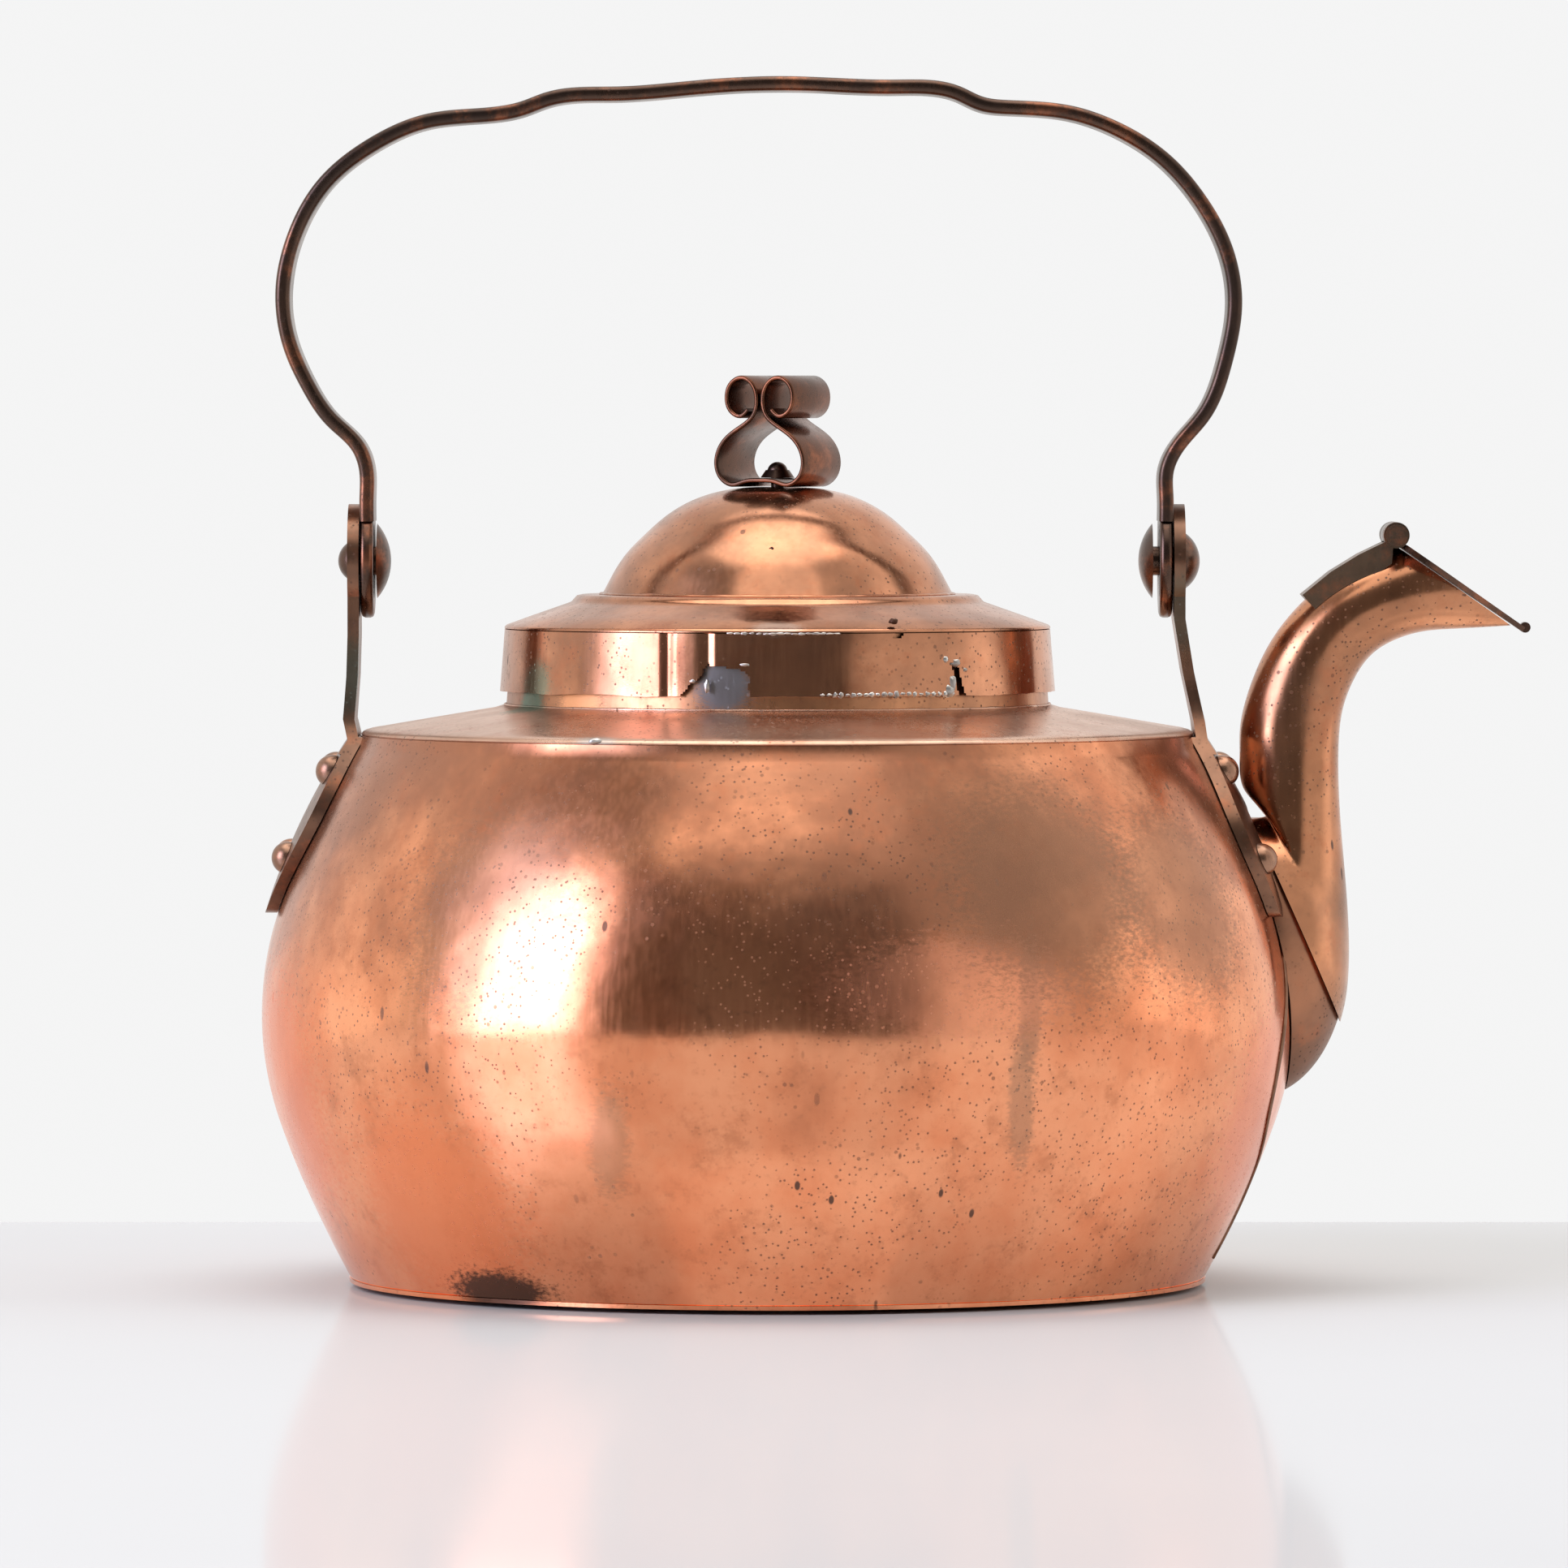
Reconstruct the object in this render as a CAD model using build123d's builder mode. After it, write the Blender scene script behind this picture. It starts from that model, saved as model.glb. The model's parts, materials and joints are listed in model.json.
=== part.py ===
"""Copper coffee pot of riveted and soldered sheet, with a swinging strap bail, a lift-off domed lid and a
hinged flap over the spout. Millimetres, +Z up, spout towards +X, origin on the table under the pot's axis."""

import os
from math import atan2, cos, degrees, hypot, radians, sin, sqrt

from build123d import *

# Sheet thicknesses and clearances
WALL_SHEET = 1.0
BASE_SHEET = 1.0
SHOULDER_SHEET = 1.0
COLLAR_SHEET = 1.0
SPOUT_SHEET = 1.0
LID_SHEET = 0.9
SEAT_GAP = 0.05
MOVING_GAP = 0.3
BORE_GAP = 0.06

# Bowl: a belly arc between two flatter flank arcs
BELLY_RADIUS = 127.4
BELLY_HEIGHT = 66.4
BELLY_CURVE = 78.0
RIM_RADIUS = 105.6
RIM_HEIGHT = 2.0
SHOULDER_RADIUS = 102.0
SHOULDER_HEIGHT = 135.4
UPPER_JOIN_ANGLE = 16.0
LOWER_JOIN_ANGLE = -20.0
FOOT_RADIUS = 88.0

# Shoulder cone and neck collar
SHOULDER_BEND = 2.4
SHOULDER_OVERHANG = 0.5
COLLAR_RADIUS = 66.8
COLLAR_TAPER = 0.9
COLLAR_FOOT_HEIGHT = 142.9

# Lid: tapered skirt, coned flange with a raised ring, dome
SKIRT_TOP_RADIUS = 67.3
SKIRT_FOOT_RADIUS = 68.5
FLANGE_RISE = 5.8
RING_RADIUS = 50.6
RING_TOP_RADIUS = 48.2
RING_RISE = 1.8
DOME_RADIUS = 43.3
DOME_RISE = 26.4
DOME_FLAT_RADIUS = 7.0

# Lid knob: one strap bent into a loop with two curls
KNOB_SHEET = 1.1
KNOB_WIDTH = 20.0
KNOB_TURN = -27.5
KNOB_RIVET_RADIUS = 1.6
KNOB_HEAD_RADIUS = 2.5
KNOB_HEAD_HEIGHT = 2.0
KNOB_WASHER_RADIUS = 4.2
KNOB_WASHER_HEIGHT = 1.9

# Lugs: a flat eye on an arm that spreads into a leaf riveted to the bowl
LUG_THICKNESS = 2.8
EYE_RADIUS = 14.0
PIVOT_HEIGHT = 178.2
BACK_LUG_X = -104.2
SPOUT_LUG_X = 98.8
LUG_ARM_HALF_WIDTH = 11.0
LEAF_HALF_WIDTH = 23.0
LEAF_WIDEST_HEIGHT = 117.0
LEAF_TIP_HEIGHT = 91.5
LEAF_UPPER_ROW = 125.6
LEAF_LOWER_ROW = 104.5
LEAF_SPREADS = {-1: (13.5, 10.0), 1: (14.5, 24.0)}
RIVET_RADIUS = 2.1
RIVET_HEAD_RADIUS = 4.0
RIVET_HEAD_HEIGHT = 3.4
RIVET_BURR_RADIUS = 3.4
RIVET_BURR_HEIGHT = 1.2

# Bail: a strap swept along a bow, with a raised grip and flat eyes
BAIL_WIDTH = 22.0
BAIL_THICKNESS = 3.7
BAIL_EYE_THICKNESS = 3.2
BAIL_EYE_RISE = 17.0
PIVOT_RADIUS = 3.6
PIVOT_BIG_HEAD = 9.2
PIVOT_BIG_HEAD_HEIGHT = 3.4
BACK_HEAD_PLAY = 0.7
SPOUT_HEAD_PLAY = 1.6

# Spout flap and its hinge
HINGE_X = 152.0
HINGE_HEIGHT = 184.6
HINGE_PIN_RADIUS = 2.1
HINGE_SHEET = 1.1
HINGE_HALF_WIDTH = 11.0
HINGE_MIDDLE_HALF = 4.6
MOUTH_TIP_X = 179.8
MOUTH_TIP_HEIGHT = 162.9
MOUTH_TOP_X = 154.4
MOUTH_TOP_HEIGHT = 180.4
FLAP_SHEET = 1.3
FLAP_TIP_HALF_WIDTH = 2.6
FLAP_OVERRUN = 4.2
FLAP_CURL_RADIUS = 1.3
HINGE_LEAF_TOP = ((129.0, 169.9), (136.0, 175.6), (143.0, 179.9), (151.5, 184.0))
HINGE_LEAF_HALF_WIDTH = 8.0

# Strainer pierced through the bowl behind the spout
STRAINER_HOLE = 2.3
STRAINER_PITCH = 8.0
STRAINER_HEIGHT = 76.0
STRAINER_COLUMNS = 3
STRAINER_ROWS = 5


def export(piece, name):
    """Labels a finished piece and writes it as one STEP file."""
    piece.label = name
    export_step(piece, f"parts/{name}.step")


# The bowl's profile: centre, radius, start angle and sweep of its three arcs
BELLY_CENTRE = (BELLY_RADIUS - BELLY_CURVE, BELLY_HEIGHT)


def flank_arc(end_point, join_angle):
    """The arc that leaves the belly arc tangentially at join_angle and runs to end_point."""
    direction = (cos(radians(join_angle)), sin(radians(join_angle)))
    dx = end_point[0] - BELLY_CENTRE[0]
    dz = end_point[1] - BELLY_CENTRE[1]
    along = dx * direction[0] + dz * direction[1]
    shift = (dx * dx + dz * dz - BELLY_CURVE**2) / (2 * (BELLY_CURVE - along))
    centre = (BELLY_CENTRE[0] - shift * direction[0], BELLY_CENTRE[1] - shift * direction[1])
    end_angle = degrees(atan2(end_point[1] - centre[1], end_point[0] - centre[0]))
    return centre, BELLY_CURVE + shift, join_angle, end_angle - join_angle


UPPER_FLANK = flank_arc((SHOULDER_RADIUS, SHOULDER_HEIGHT), UPPER_JOIN_ANGLE)
LOWER_FLANK = flank_arc((RIM_RADIUS, RIM_HEIGHT), LOWER_JOIN_ANGLE)
BELLY = (BELLY_CENTRE, BELLY_CURVE, LOWER_JOIN_ANGLE, UPPER_JOIN_ANGLE - LOWER_JOIN_ANGLE)


def bowl_radius(height):
    """Outer radius of the bowl at a height on its upper flank."""
    centre, radius = UPPER_FLANK[:2]
    return centre[0] + sqrt(radius**2 - (height - centre[1]) ** 2)


def bowl_line(grow):
    """The arcs of the bowl's outline from rim to shoulder, grown outwards by an amount."""
    arcs = []
    for centre, radius, start, sweep in (LOWER_FLANK, BELLY, UPPER_FLANK):
        arcs.append(CenterArc(centre, radius + grow, start, sweep))
    return arcs


def bowl_skin(inner, outer):
    """A shell of revolution between two offsets of the bowl's outline."""
    with BuildPart() as skin:
        with BuildSketch(Plane.XZ):
            with BuildLine():
                inside = bowl_line(inner)
                outside = bowl_line(outer)
                Line(inside[0] @ 1, outside[0] @ 1)
                Line(inside[2] @ 1, outside[2] @ 1)
            make_face()
        revolve(axis=Axis.Z)
    return skin.part


def bowl_core(grow):
    """The solid that fills the bowl, grown outwards by an amount."""
    with BuildPart() as core:
        with BuildSketch(Plane.XZ):
            with BuildLine():
                outside = bowl_line(grow)
                foot = outside[0] @ 1
                top = outside[2] @ 1
                Polyline((foot.X, foot.Y), (0, foot.Y), (0, top.Y), (top.X, top.Y))
            make_face()
        revolve(axis=Axis.Z)
    return core.part


def leaf_planes(side):
    """Planes on the bowl's surface at one lug's four rivets; side is +1 by the spout and -1 at the back."""
    planes = []
    for height, spread in zip((LEAF_UPPER_ROW, LEAF_LOWER_ROW), LEAF_SPREADS[side]):
        radius = bowl_radius(height)
        centre = UPPER_FLANK[0]
        tilt = atan2(height - centre[1], radius - centre[0])
        for hand in (-1, 1):
            turn = hand * spread / radius
            out = (side * cos(turn) * cos(tilt), sin(turn) * cos(tilt), sin(tilt))
            origin = (side * radius * cos(turn), radius * sin(turn), height)
            planes.append(Plane(origin=origin, z_dir=out))
    return planes


# Spout root: the solid of a bulging ellipsoid, cut where the tube laps over it
ROOT_CENTRE = (118.0, 80.0)
ROOT_DEPTH = 22.4
ROOT_HALF_WIDTH = 23.4
ROOT_HALF_HEIGHT = 34.0
ROOT_LAP = 2.5
LAP_GAP = 0.25
LAP_POINT = (129.8, 90.8)
LAP_LEAN = 24.0

# Spout tube: sections above the lap, each with its back point, front point and half width across
TUBE_SECTIONS = (
    ((115.2, 121.5), (140.2, 98.0), 14.2),
    ((113.9, 130.5), (138.6, 118.0), 12.6),
    ((114.4, 140.0), (138.4, 134.0), 11.9),
    ((118.0, 151.4), (139.9, 143.6), 11.5),
    ((123.8, 161.8), (143.6, 151.6), 11.2),
    ((132.0, 170.6), (148.6, 156.8), 11.0),
    ((142.4, 177.4), (156.4, 160.2), 10.6),
    ((158.0, 183.0), (166.0, 161.4), 8.6),
    ((180.6, 176.0), (181.6, 162.3), 3.4),
)


def lap_section(shift):
    """The root's outline on a plane moved along from the lap: back point, front point and half width."""
    step = (sin(radians(LAP_LEAN)), -cos(radians(LAP_LEAN)))
    start = (LAP_POINT[0] - shift * step[1], LAP_POINT[1] + shift * step[0])
    dx = (start[0] - ROOT_CENTRE[0]) / ROOT_DEPTH
    dz = (start[1] - ROOT_CENTRE[1]) / ROOT_HALF_HEIGHT
    a = (step[0] / ROOT_DEPTH) ** 2 + (step[1] / ROOT_HALF_HEIGHT) ** 2
    b = dx * step[0] / ROOT_DEPTH + dz * step[1] / ROOT_HALF_HEIGHT
    c = dx**2 + dz**2 - 1
    half_span = sqrt(b * b - a * c) / a
    middle = -b / a
    back = (start[0] + (middle - half_span) * step[0], start[1] + (middle - half_span) * step[1])
    front = (start[0] + (middle + half_span) * step[0], start[1] + (middle + half_span) * step[1])
    return back, front, ROOT_HALF_WIDTH * half_span * sqrt(a)


def spout_form(grow):
    """The spout's tube as a solid from the lap to beyond the beak, grown by an amount all round."""
    first = (lap_section(-ROOT_LAP), lap_section(0))
    with BuildPart() as form:
        for index, (back, front, half_width) in enumerate(first + TUBE_SECTIONS):
            extra = grow + (SPOUT_SHEET + LAP_GAP if index < 2 else 0)
            dx = back[0] - front[0]
            dz = back[1] - front[1]
            span = hypot(dx, dz)
            middle = ((back[0] + front[0]) / 2, 0, (back[1] + front[1]) / 2)
            across = (dx / span, 0, dz / span)
            along = (-across[2], 0, across[0])
            with BuildSketch(Plane(origin=middle, x_dir=across, z_dir=along)):
                Ellipse(span / 2 + extra, half_width + extra)
        loft()
    return form.part


def hollow(outer, inner):
    """A tube between two lofted solids whose end caps lie in the same planes."""
    faces = []
    inner_caps = inner.faces().filter_by(GeomType.PLANE)
    for cap in outer.faces().filter_by(GeomType.PLANE):
        partner = min(inner_caps, key=lambda face: (face.center() - cap.center()).length)
        faces.extend((cap - partner).faces())
    faces.extend(face for face in outer.faces() if face.geom_type != GeomType.PLANE)
    faces.extend(face for face in inner.faces() if face.geom_type != GeomType.PLANE)
    return Part(Solid(Shell(faces)).wrapped)


def root_form(grow):
    """The root's ellipsoid, grown by an amount."""
    size = (ROOT_DEPTH + grow, ROOT_HALF_WIDTH + grow, ROOT_HALF_HEIGHT + grow)
    return Pos(ROOT_CENTRE[0], 0, ROOT_CENTRE[1]) * scale(Sphere(1), by=size)


def beyond_lap(shift):
    """A large block that fills the space past the lap plane, starting at a shift along the tube."""
    out = (cos(radians(LAP_LEAN)), 0, sin(radians(LAP_LEAN)))
    middle = (LAP_POINT[0] + shift * out[0], 0, LAP_POINT[1] + shift * out[2])
    with BuildPart() as block:
        with BuildSketch(Plane(origin=middle, x_dir=(0, 1, 0), z_dir=out)):
            Rectangle(300, 300)
        extrude(amount=200)
    return block.part


# Body wall: the bowl's sheet, pierced for the rivets and for the strainer behind the spout
def make_body_wall():
    with BuildPart() as body_wall:
        add(bowl_skin(-WALL_SHEET, 0))
        with Locations((0, 0, RIM_HEIGHT)):
            Cylinder(200, 20, align=(Align.CENTER, Align.CENTER, Align.MAX), mode=Mode.SUBTRACT)
        with Locations((0, 0, SHOULDER_HEIGHT)):
            Cylinder(200, 20, align=(Align.CENTER, Align.CENTER, Align.MIN), mode=Mode.SUBTRACT)
        with BuildSketch(Plane.YZ.offset(BELLY_RADIUS - 30)):
            with Locations((0, STRAINER_HEIGHT)):
                with GridLocations(STRAINER_PITCH, STRAINER_PITCH, STRAINER_COLUMNS, STRAINER_ROWS):
                    Circle(STRAINER_HOLE)
        extrude(amount=40, mode=Mode.SUBTRACT)
        for side in (-1, 1):
            with Locations(*leaf_planes(side)):
                Cylinder(RIVET_RADIUS, 12, mode=Mode.SUBTRACT)
    return body_wall.part


# Base plate: a flat disc that rises to the rim, so that the pot stands on the disc
def make_base_plate():
    with BuildPart() as base_plate:
        with BuildSketch(Plane.XZ):
            with BuildLine():
                Polyline(
                    (0, 0),
                    (FOOT_RADIUS, 0),
                    (RIM_RADIUS, RIM_HEIGHT - SEAT_GAP - BASE_SHEET),
                    (RIM_RADIUS, RIM_HEIGHT - SEAT_GAP),
                    (RIM_RADIUS - 1.6, RIM_HEIGHT - SEAT_GAP),
                    (FOOT_RADIUS - 0.3, BASE_SHEET),
                    (0, BASE_SHEET),
                    close=True,
                )
            make_face()
        revolve(axis=Axis.Z)
    return base_plate.part


# Shoulder plate: a shallow cone that laps over the bowl's top edge and carries the collar
def make_shoulder_plate():
    low = SHOULDER_HEIGHT + SEAT_GAP
    high = COLLAR_FOOT_HEIGHT - SEAT_GAP
    edge = SHOULDER_RADIUS + SHOULDER_OVERHANG
    inner = COLLAR_RADIUS - COLLAR_SHEET - 0.2
    with BuildPart() as shoulder_plate:
        with BuildSketch(Plane.XZ):
            with BuildLine():
                Polyline(
                    (edge, low),
                    (edge, low + 0.7 * SHOULDER_SHEET),
                    (edge - SHOULDER_BEND, low + 1.6 * SHOULDER_SHEET),
                    (COLLAR_RADIUS + 0.6, high),
                    (inner, high),
                    (inner, high - SHOULDER_SHEET),
                    (edge - SHOULDER_BEND, low + 0.6 * SHOULDER_SHEET),
                    (edge - SHOULDER_BEND - 0.6, low),
                    close=True,
                )
            make_face()
        revolve(axis=Axis.Z)
    return shoulder_plate.part


def tapered_ring(foot_radius, top_radius, sheet, low, high):
    """A ring of sheet whose outer radius changes from foot to top."""
    with BuildPart() as ring:
        with BuildSketch(Plane.XZ):
            with BuildLine():
                Polyline(
                    (foot_radius, low),
                    (top_radius, high),
                    (top_radius - sheet, high),
                    (foot_radius - sheet, low),
                    close=True,
                )
            make_face()
        revolve(axis=Axis.Z)
    return ring.part


# Heights that follow from the collar and the lid's seat on it
SKIRT_FOOT_HEIGHT = 145.8
LID_SEAT_HEIGHT = 161.5
COLLAR_TOP_HEIGHT = LID_SEAT_HEIGHT - SEAT_GAP
SKIRT_TOP_HEIGHT = LID_SEAT_HEIGHT - SEAT_GAP
RING_HEIGHT = LID_SEAT_HEIGHT + LID_SHEET + FLANGE_RISE
DOME_FOOT_HEIGHT = RING_HEIGHT + RING_RISE


# Lid top: a coned flange that rests on the collar, with a raised ring round the dome
def make_lid_top():
    low = LID_SEAT_HEIGHT
    edge = SKIRT_TOP_RADIUS
    with BuildPart() as lid_top:
        with BuildSketch(Plane.XZ):
            with BuildLine():
                Polyline(
                    (edge, low),
                    (edge, low + LID_SHEET),
                    (RING_RADIUS, RING_HEIGHT),
                    (RING_TOP_RADIUS, DOME_FOOT_HEIGHT),
                    (DOME_RADIUS - 3, DOME_FOOT_HEIGHT),
                    (DOME_RADIUS - 3, DOME_FOOT_HEIGHT - LID_SHEET),
                    (RING_TOP_RADIUS - 0.4, DOME_FOOT_HEIGHT - LID_SHEET),
                    (RING_RADIUS - 0.4, RING_HEIGHT - LID_SHEET),
                    (edge - 2.6, low + LID_SHEET),
                    (edge - 2.6, low),
                    close=True,
                )
            make_face()
        revolve(axis=Axis.Z)
    return lid_top.part


# Lid dome: a raised cap with a small flat on top for the knob
DOME_PROFILE = (
    (1.0, 0.0),
    (0.968, 0.1),
    (0.916, 0.25),
    (0.85, 0.4),
    (0.757, 0.553),
    (0.657, 0.705),
    (0.516, 0.856),
    (0.36, 0.95),
)


def dome_points(inset):
    """Points of the dome's outline from foot to flat, moved inwards by an amount."""
    points = []
    for across, up in DOME_PROFILE:
        lean = radians(90 * min(1.0, up * up * 1.05 + 0.04))
        radius = DOME_RADIUS * across - inset * cos(lean)
        points.append((radius, DOME_FOOT_HEIGHT + SEAT_GAP + DOME_RISE * up - (inset * sin(lean) if up else 0)))
    points.append((DOME_FLAT_RADIUS, DOME_FOOT_HEIGHT + DOME_RISE - inset))
    return points


def make_lid_dome():
    outer = dome_points(0)
    inner = dome_points(LID_SHEET)
    with BuildPart() as lid_dome:
        with BuildSketch(Plane.XZ):
            with BuildLine():
                Spline(*outer)
                Spline(*inner)
                Line(outer[0], inner[0])
                Polyline(outer[-1], (0, outer[-1][1]), (0, inner[-1][1]), inner[-1])
            make_face()
        revolve(axis=Axis.Z)
        with Locations((0, 0, outer[-1][1])):
            Cylinder(KNOB_RIVET_RADIUS, 6, mode=Mode.SUBTRACT)
    return lid_dome.part


# Lid knob: one strap bent into a loop that closes at a waist and opens again in two curls
DOME_TOP_HEIGHT = DOME_FOOT_HEIGHT + DOME_RISE
KNOB_BASE_HEIGHT = DOME_TOP_HEIGHT + SEAT_GAP + KNOB_SHEET / 2
KNOB_HALF_PATH = (
    (0.0, 1.1),
    (4.2, 0.8),
    (7.6, 0.0),
    (10.9, 1.9),
    (12.0, 5.9),
    (10.0, 10.6),
    (5.4, 14.1),
    (1.7, 17.2),
    (0.85, 21.0),
    (1.9, 24.5),
    (4.9, 26.3),
    (8.0, 24.8),
    (9.1, 21.2),
    (7.8, 17.9),
    (5.2, 16.9),
    (3.3, 18.4),
)
KNOB_PLANE = Plane(
    origin=(0, 0, KNOB_BASE_HEIGHT),
    x_dir=(cos(radians(KNOB_TURN)), sin(radians(KNOB_TURN)), 0),
    z_dir=(sin(radians(KNOB_TURN)), -cos(radians(KNOB_TURN)), 0),
)


def make_lid_knob():
    left = [(-x, y) for x, y in reversed(KNOB_HALF_PATH[1:])]
    with BuildPart() as lid_knob:
        with BuildLine(KNOB_PLANE):
            path = Spline(*left, *KNOB_HALF_PATH)
        with BuildSketch(Plane(origin=path @ 0, z_dir=path % 0, x_dir=KNOB_PLANE.z_dir)):
            Rectangle(KNOB_WIDTH, KNOB_SHEET)
        sweep(path=path)
        with Locations((0, 0, KNOB_BASE_HEIGHT)):
            Cylinder(KNOB_RIVET_RADIUS, 6, mode=Mode.SUBTRACT)
    return lid_knob.part


KNOB_WASHER_LOW = KNOB_BASE_HEIGHT + KNOB_HALF_PATH[0][1] + KNOB_SHEET / 2 + SEAT_GAP


# Knob washer: a small cone under the rivet's head
def make_knob_washer():
    with BuildPart() as knob_washer:
        with Locations((0, 0, KNOB_WASHER_LOW)):
            Cone(
                KNOB_WASHER_RADIUS,
                KNOB_HEAD_RADIUS + 0.4,
                KNOB_WASHER_HEIGHT,
                align=(Align.CENTER, Align.CENTER, Align.MIN),
            )
            Cylinder(KNOB_RIVET_RADIUS, 12, mode=Mode.SUBTRACT)
    return knob_washer.part


# Knob rivet: head on the washer, shank through strap and dome, peened tail inside the dome
def make_knob_rivet():
    head_low = KNOB_WASHER_LOW + KNOB_WASHER_HEIGHT
    tail_high = DOME_TOP_HEIGHT - LID_SHEET
    up = (Align.CENTER, Align.CENTER, Align.MIN)
    down = (Align.CENTER, Align.CENTER, Align.MAX)
    shank = Pos(0, 0, tail_high - 1.5) * Cylinder(KNOB_RIVET_RADIUS, head_low - tail_high + 2.1, align=up)
    tail = Pos(0, 0, tail_high) * Cone(KNOB_HEAD_RADIUS - 0.6, KNOB_HEAD_RADIUS + 0.4, 1.5, align=down)
    return shank + tail + Pos(0, 0, head_low) * rivet_head(KNOB_HEAD_RADIUS, KNOB_HEAD_HEIGHT)


# Spout root: a bulging cup soldered to the bowl, open towards the strainer and towards the tube
def make_spout_root():
    shell = root_form(0) - root_form(-SPOUT_SHEET) - bowl_core(SEAT_GAP)
    return shell - beyond_lap(0)


def mouth_cutter():
    """A large block above the mouth's slanting plane."""
    slope = (MOUTH_TIP_X - MOUTH_TOP_X, 0, MOUTH_TIP_HEIGHT - MOUTH_TOP_HEIGHT)
    with BuildPart() as block:
        plane = Plane(origin=(MOUTH_TOP_X, 0, MOUTH_TOP_HEIGHT), x_dir=slope, z_dir=(-slope[2], 0, slope[0]))
        with BuildSketch(plane):
            with Locations((45, 0)):
                Rectangle(110, 80)
        extrude(amount=60)
    return block.part


def hinge_rod(radius, half_width):
    """A cylinder on the hinge's axis."""
    return Pos(HINGE_X, 0, HINGE_HEIGHT) * Rot(90, 0, 0) * Cylinder(radius, 2 * half_width)


BARREL_RADIUS = HINGE_PIN_RADIUS + HINGE_SHEET


# Spout tube: laps over the root, curves up beside the bowl and ends in a beak
def make_spout_tube():
    tube = hollow(spout_form(0), spout_form(-SPOUT_SHEET))
    tube = tube - mouth_cutter() - hinge_rod(BARREL_RADIUS + MOVING_GAP, HINGE_HALF_WIDTH + 2)
    return max(tube.solids(), key=lambda solid: solid.volume)


# Spout hinge leaf: a strip brazed along the back of the tube, with two knuckles round the pin
def make_spout_hinge_leaf():
    with BuildPart() as strip:
        with BuildSketch(Plane.XZ):
            with BuildLine():
                Polyline(*HINGE_LEAF_TOP, (HINGE_X - 1, HINGE_HEIGHT - 7), (HINGE_X - 19, HINGE_HEIGHT - 19), close=True)
            make_face()
        extrude(amount=HINGE_LEAF_HALF_WIDTH, both=True)
    strip = strip.part
    leaf = strip + hinge_rod(BARREL_RADIUS, HINGE_HALF_WIDTH)
    leaf = leaf - hinge_rod(BARREL_RADIUS + MOVING_GAP, HINGE_MIDDLE_HALF + MOVING_GAP)
    leaf = leaf - spout_form(SEAT_GAP)
    leaf = leaf - hinge_rod(HINGE_PIN_RADIUS, 40)
    return leaf


# Spout hinge pin: fixed in the leaf's knuckles, with a small head at each end
def make_spout_hinge_pin():
    pin = hinge_rod(HINGE_PIN_RADIUS, HINGE_HALF_WIDTH + 1.4)
    for side in (-1, 1):
        place = Pos(HINGE_X, side * (HINGE_HALF_WIDTH + SEAT_GAP + 0.6), HINGE_HEIGHT)
        pin = pin + place * Rot(90, 0, 0) * Cylinder(HINGE_PIN_RADIUS + 0.6, 1.2)
    return pin


# Spout flap: a sheet that closes the mouth, with one knuckle on the pin and a curled tip
def make_spout_flap():
    length = hypot(MOUTH_TIP_X - MOUTH_TOP_X, MOUTH_TIP_HEIGHT - MOUTH_TOP_HEIGHT)
    slope = (MOUTH_TIP_X - MOUTH_TOP_X, 0, MOUTH_TIP_HEIGHT - MOUTH_TOP_HEIGHT)
    plane = Plane(origin=(MOUTH_TOP_X, 0, MOUTH_TOP_HEIGHT), x_dir=slope, z_dir=(-slope[2], 0, slope[0]))
    start = (HINGE_X - MOUTH_TOP_X) * slope[0] / length + (HINGE_HEIGHT - MOUTH_TOP_HEIGHT) * slope[2] / length
    sheet_start = start + BARREL_RADIUS + MOVING_GAP
    end = length + FLAP_OVERRUN
    barrel = hinge_rod(BARREL_RADIUS, HINGE_MIDDLE_HALF)
    with BuildPart() as flap:
        with BuildSketch(plane.offset(MOVING_GAP)):
            with BuildLine():
                right = Spline(
                    (sheet_start, 10.2),
                    (0.25 * length, 11.4),
                    (0.55 * length, 8.8),
                    (0.85 * length, 4.9),
                    (end - 2.2, FLAP_TIP_HALF_WIDTH),
                )
                left = Spline(
                    (sheet_start, -10.2),
                    (0.25 * length, -11.4),
                    (0.55 * length, -8.8),
                    (0.85 * length, -4.9),
                    (end - 2.2, -FLAP_TIP_HALF_WIDTH),
                )
                Line(right @ 0, left @ 0)
                Polyline(right @ 1, (end, FLAP_TIP_HALF_WIDTH * 0.8), (end, -FLAP_TIP_HALF_WIDTH * 0.8), left @ 1)
            make_face()
        extrude(amount=FLAP_SHEET)
        with BuildSketch(plane.offset(MOVING_GAP)):
            with Locations(((start + sheet_start + 1) / 2, 0)):
                Rectangle(sheet_start + 1 - start, 2 * HINGE_MIDDLE_HALF)
        extrude(amount=FLAP_SHEET)
        tip = plane.offset(MOVING_GAP + FLAP_SHEET) * Pos(end, 0, 0)
        with Locations(tip * Rot(90, 0, 0)):
            Cylinder(FLAP_CURL_RADIUS, 2 * FLAP_TIP_HALF_WIDTH * 0.8)
        add(barrel)
    return flap.part - hinge_rod(HINGE_PIN_RADIUS + BORE_GAP, 40)


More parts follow.
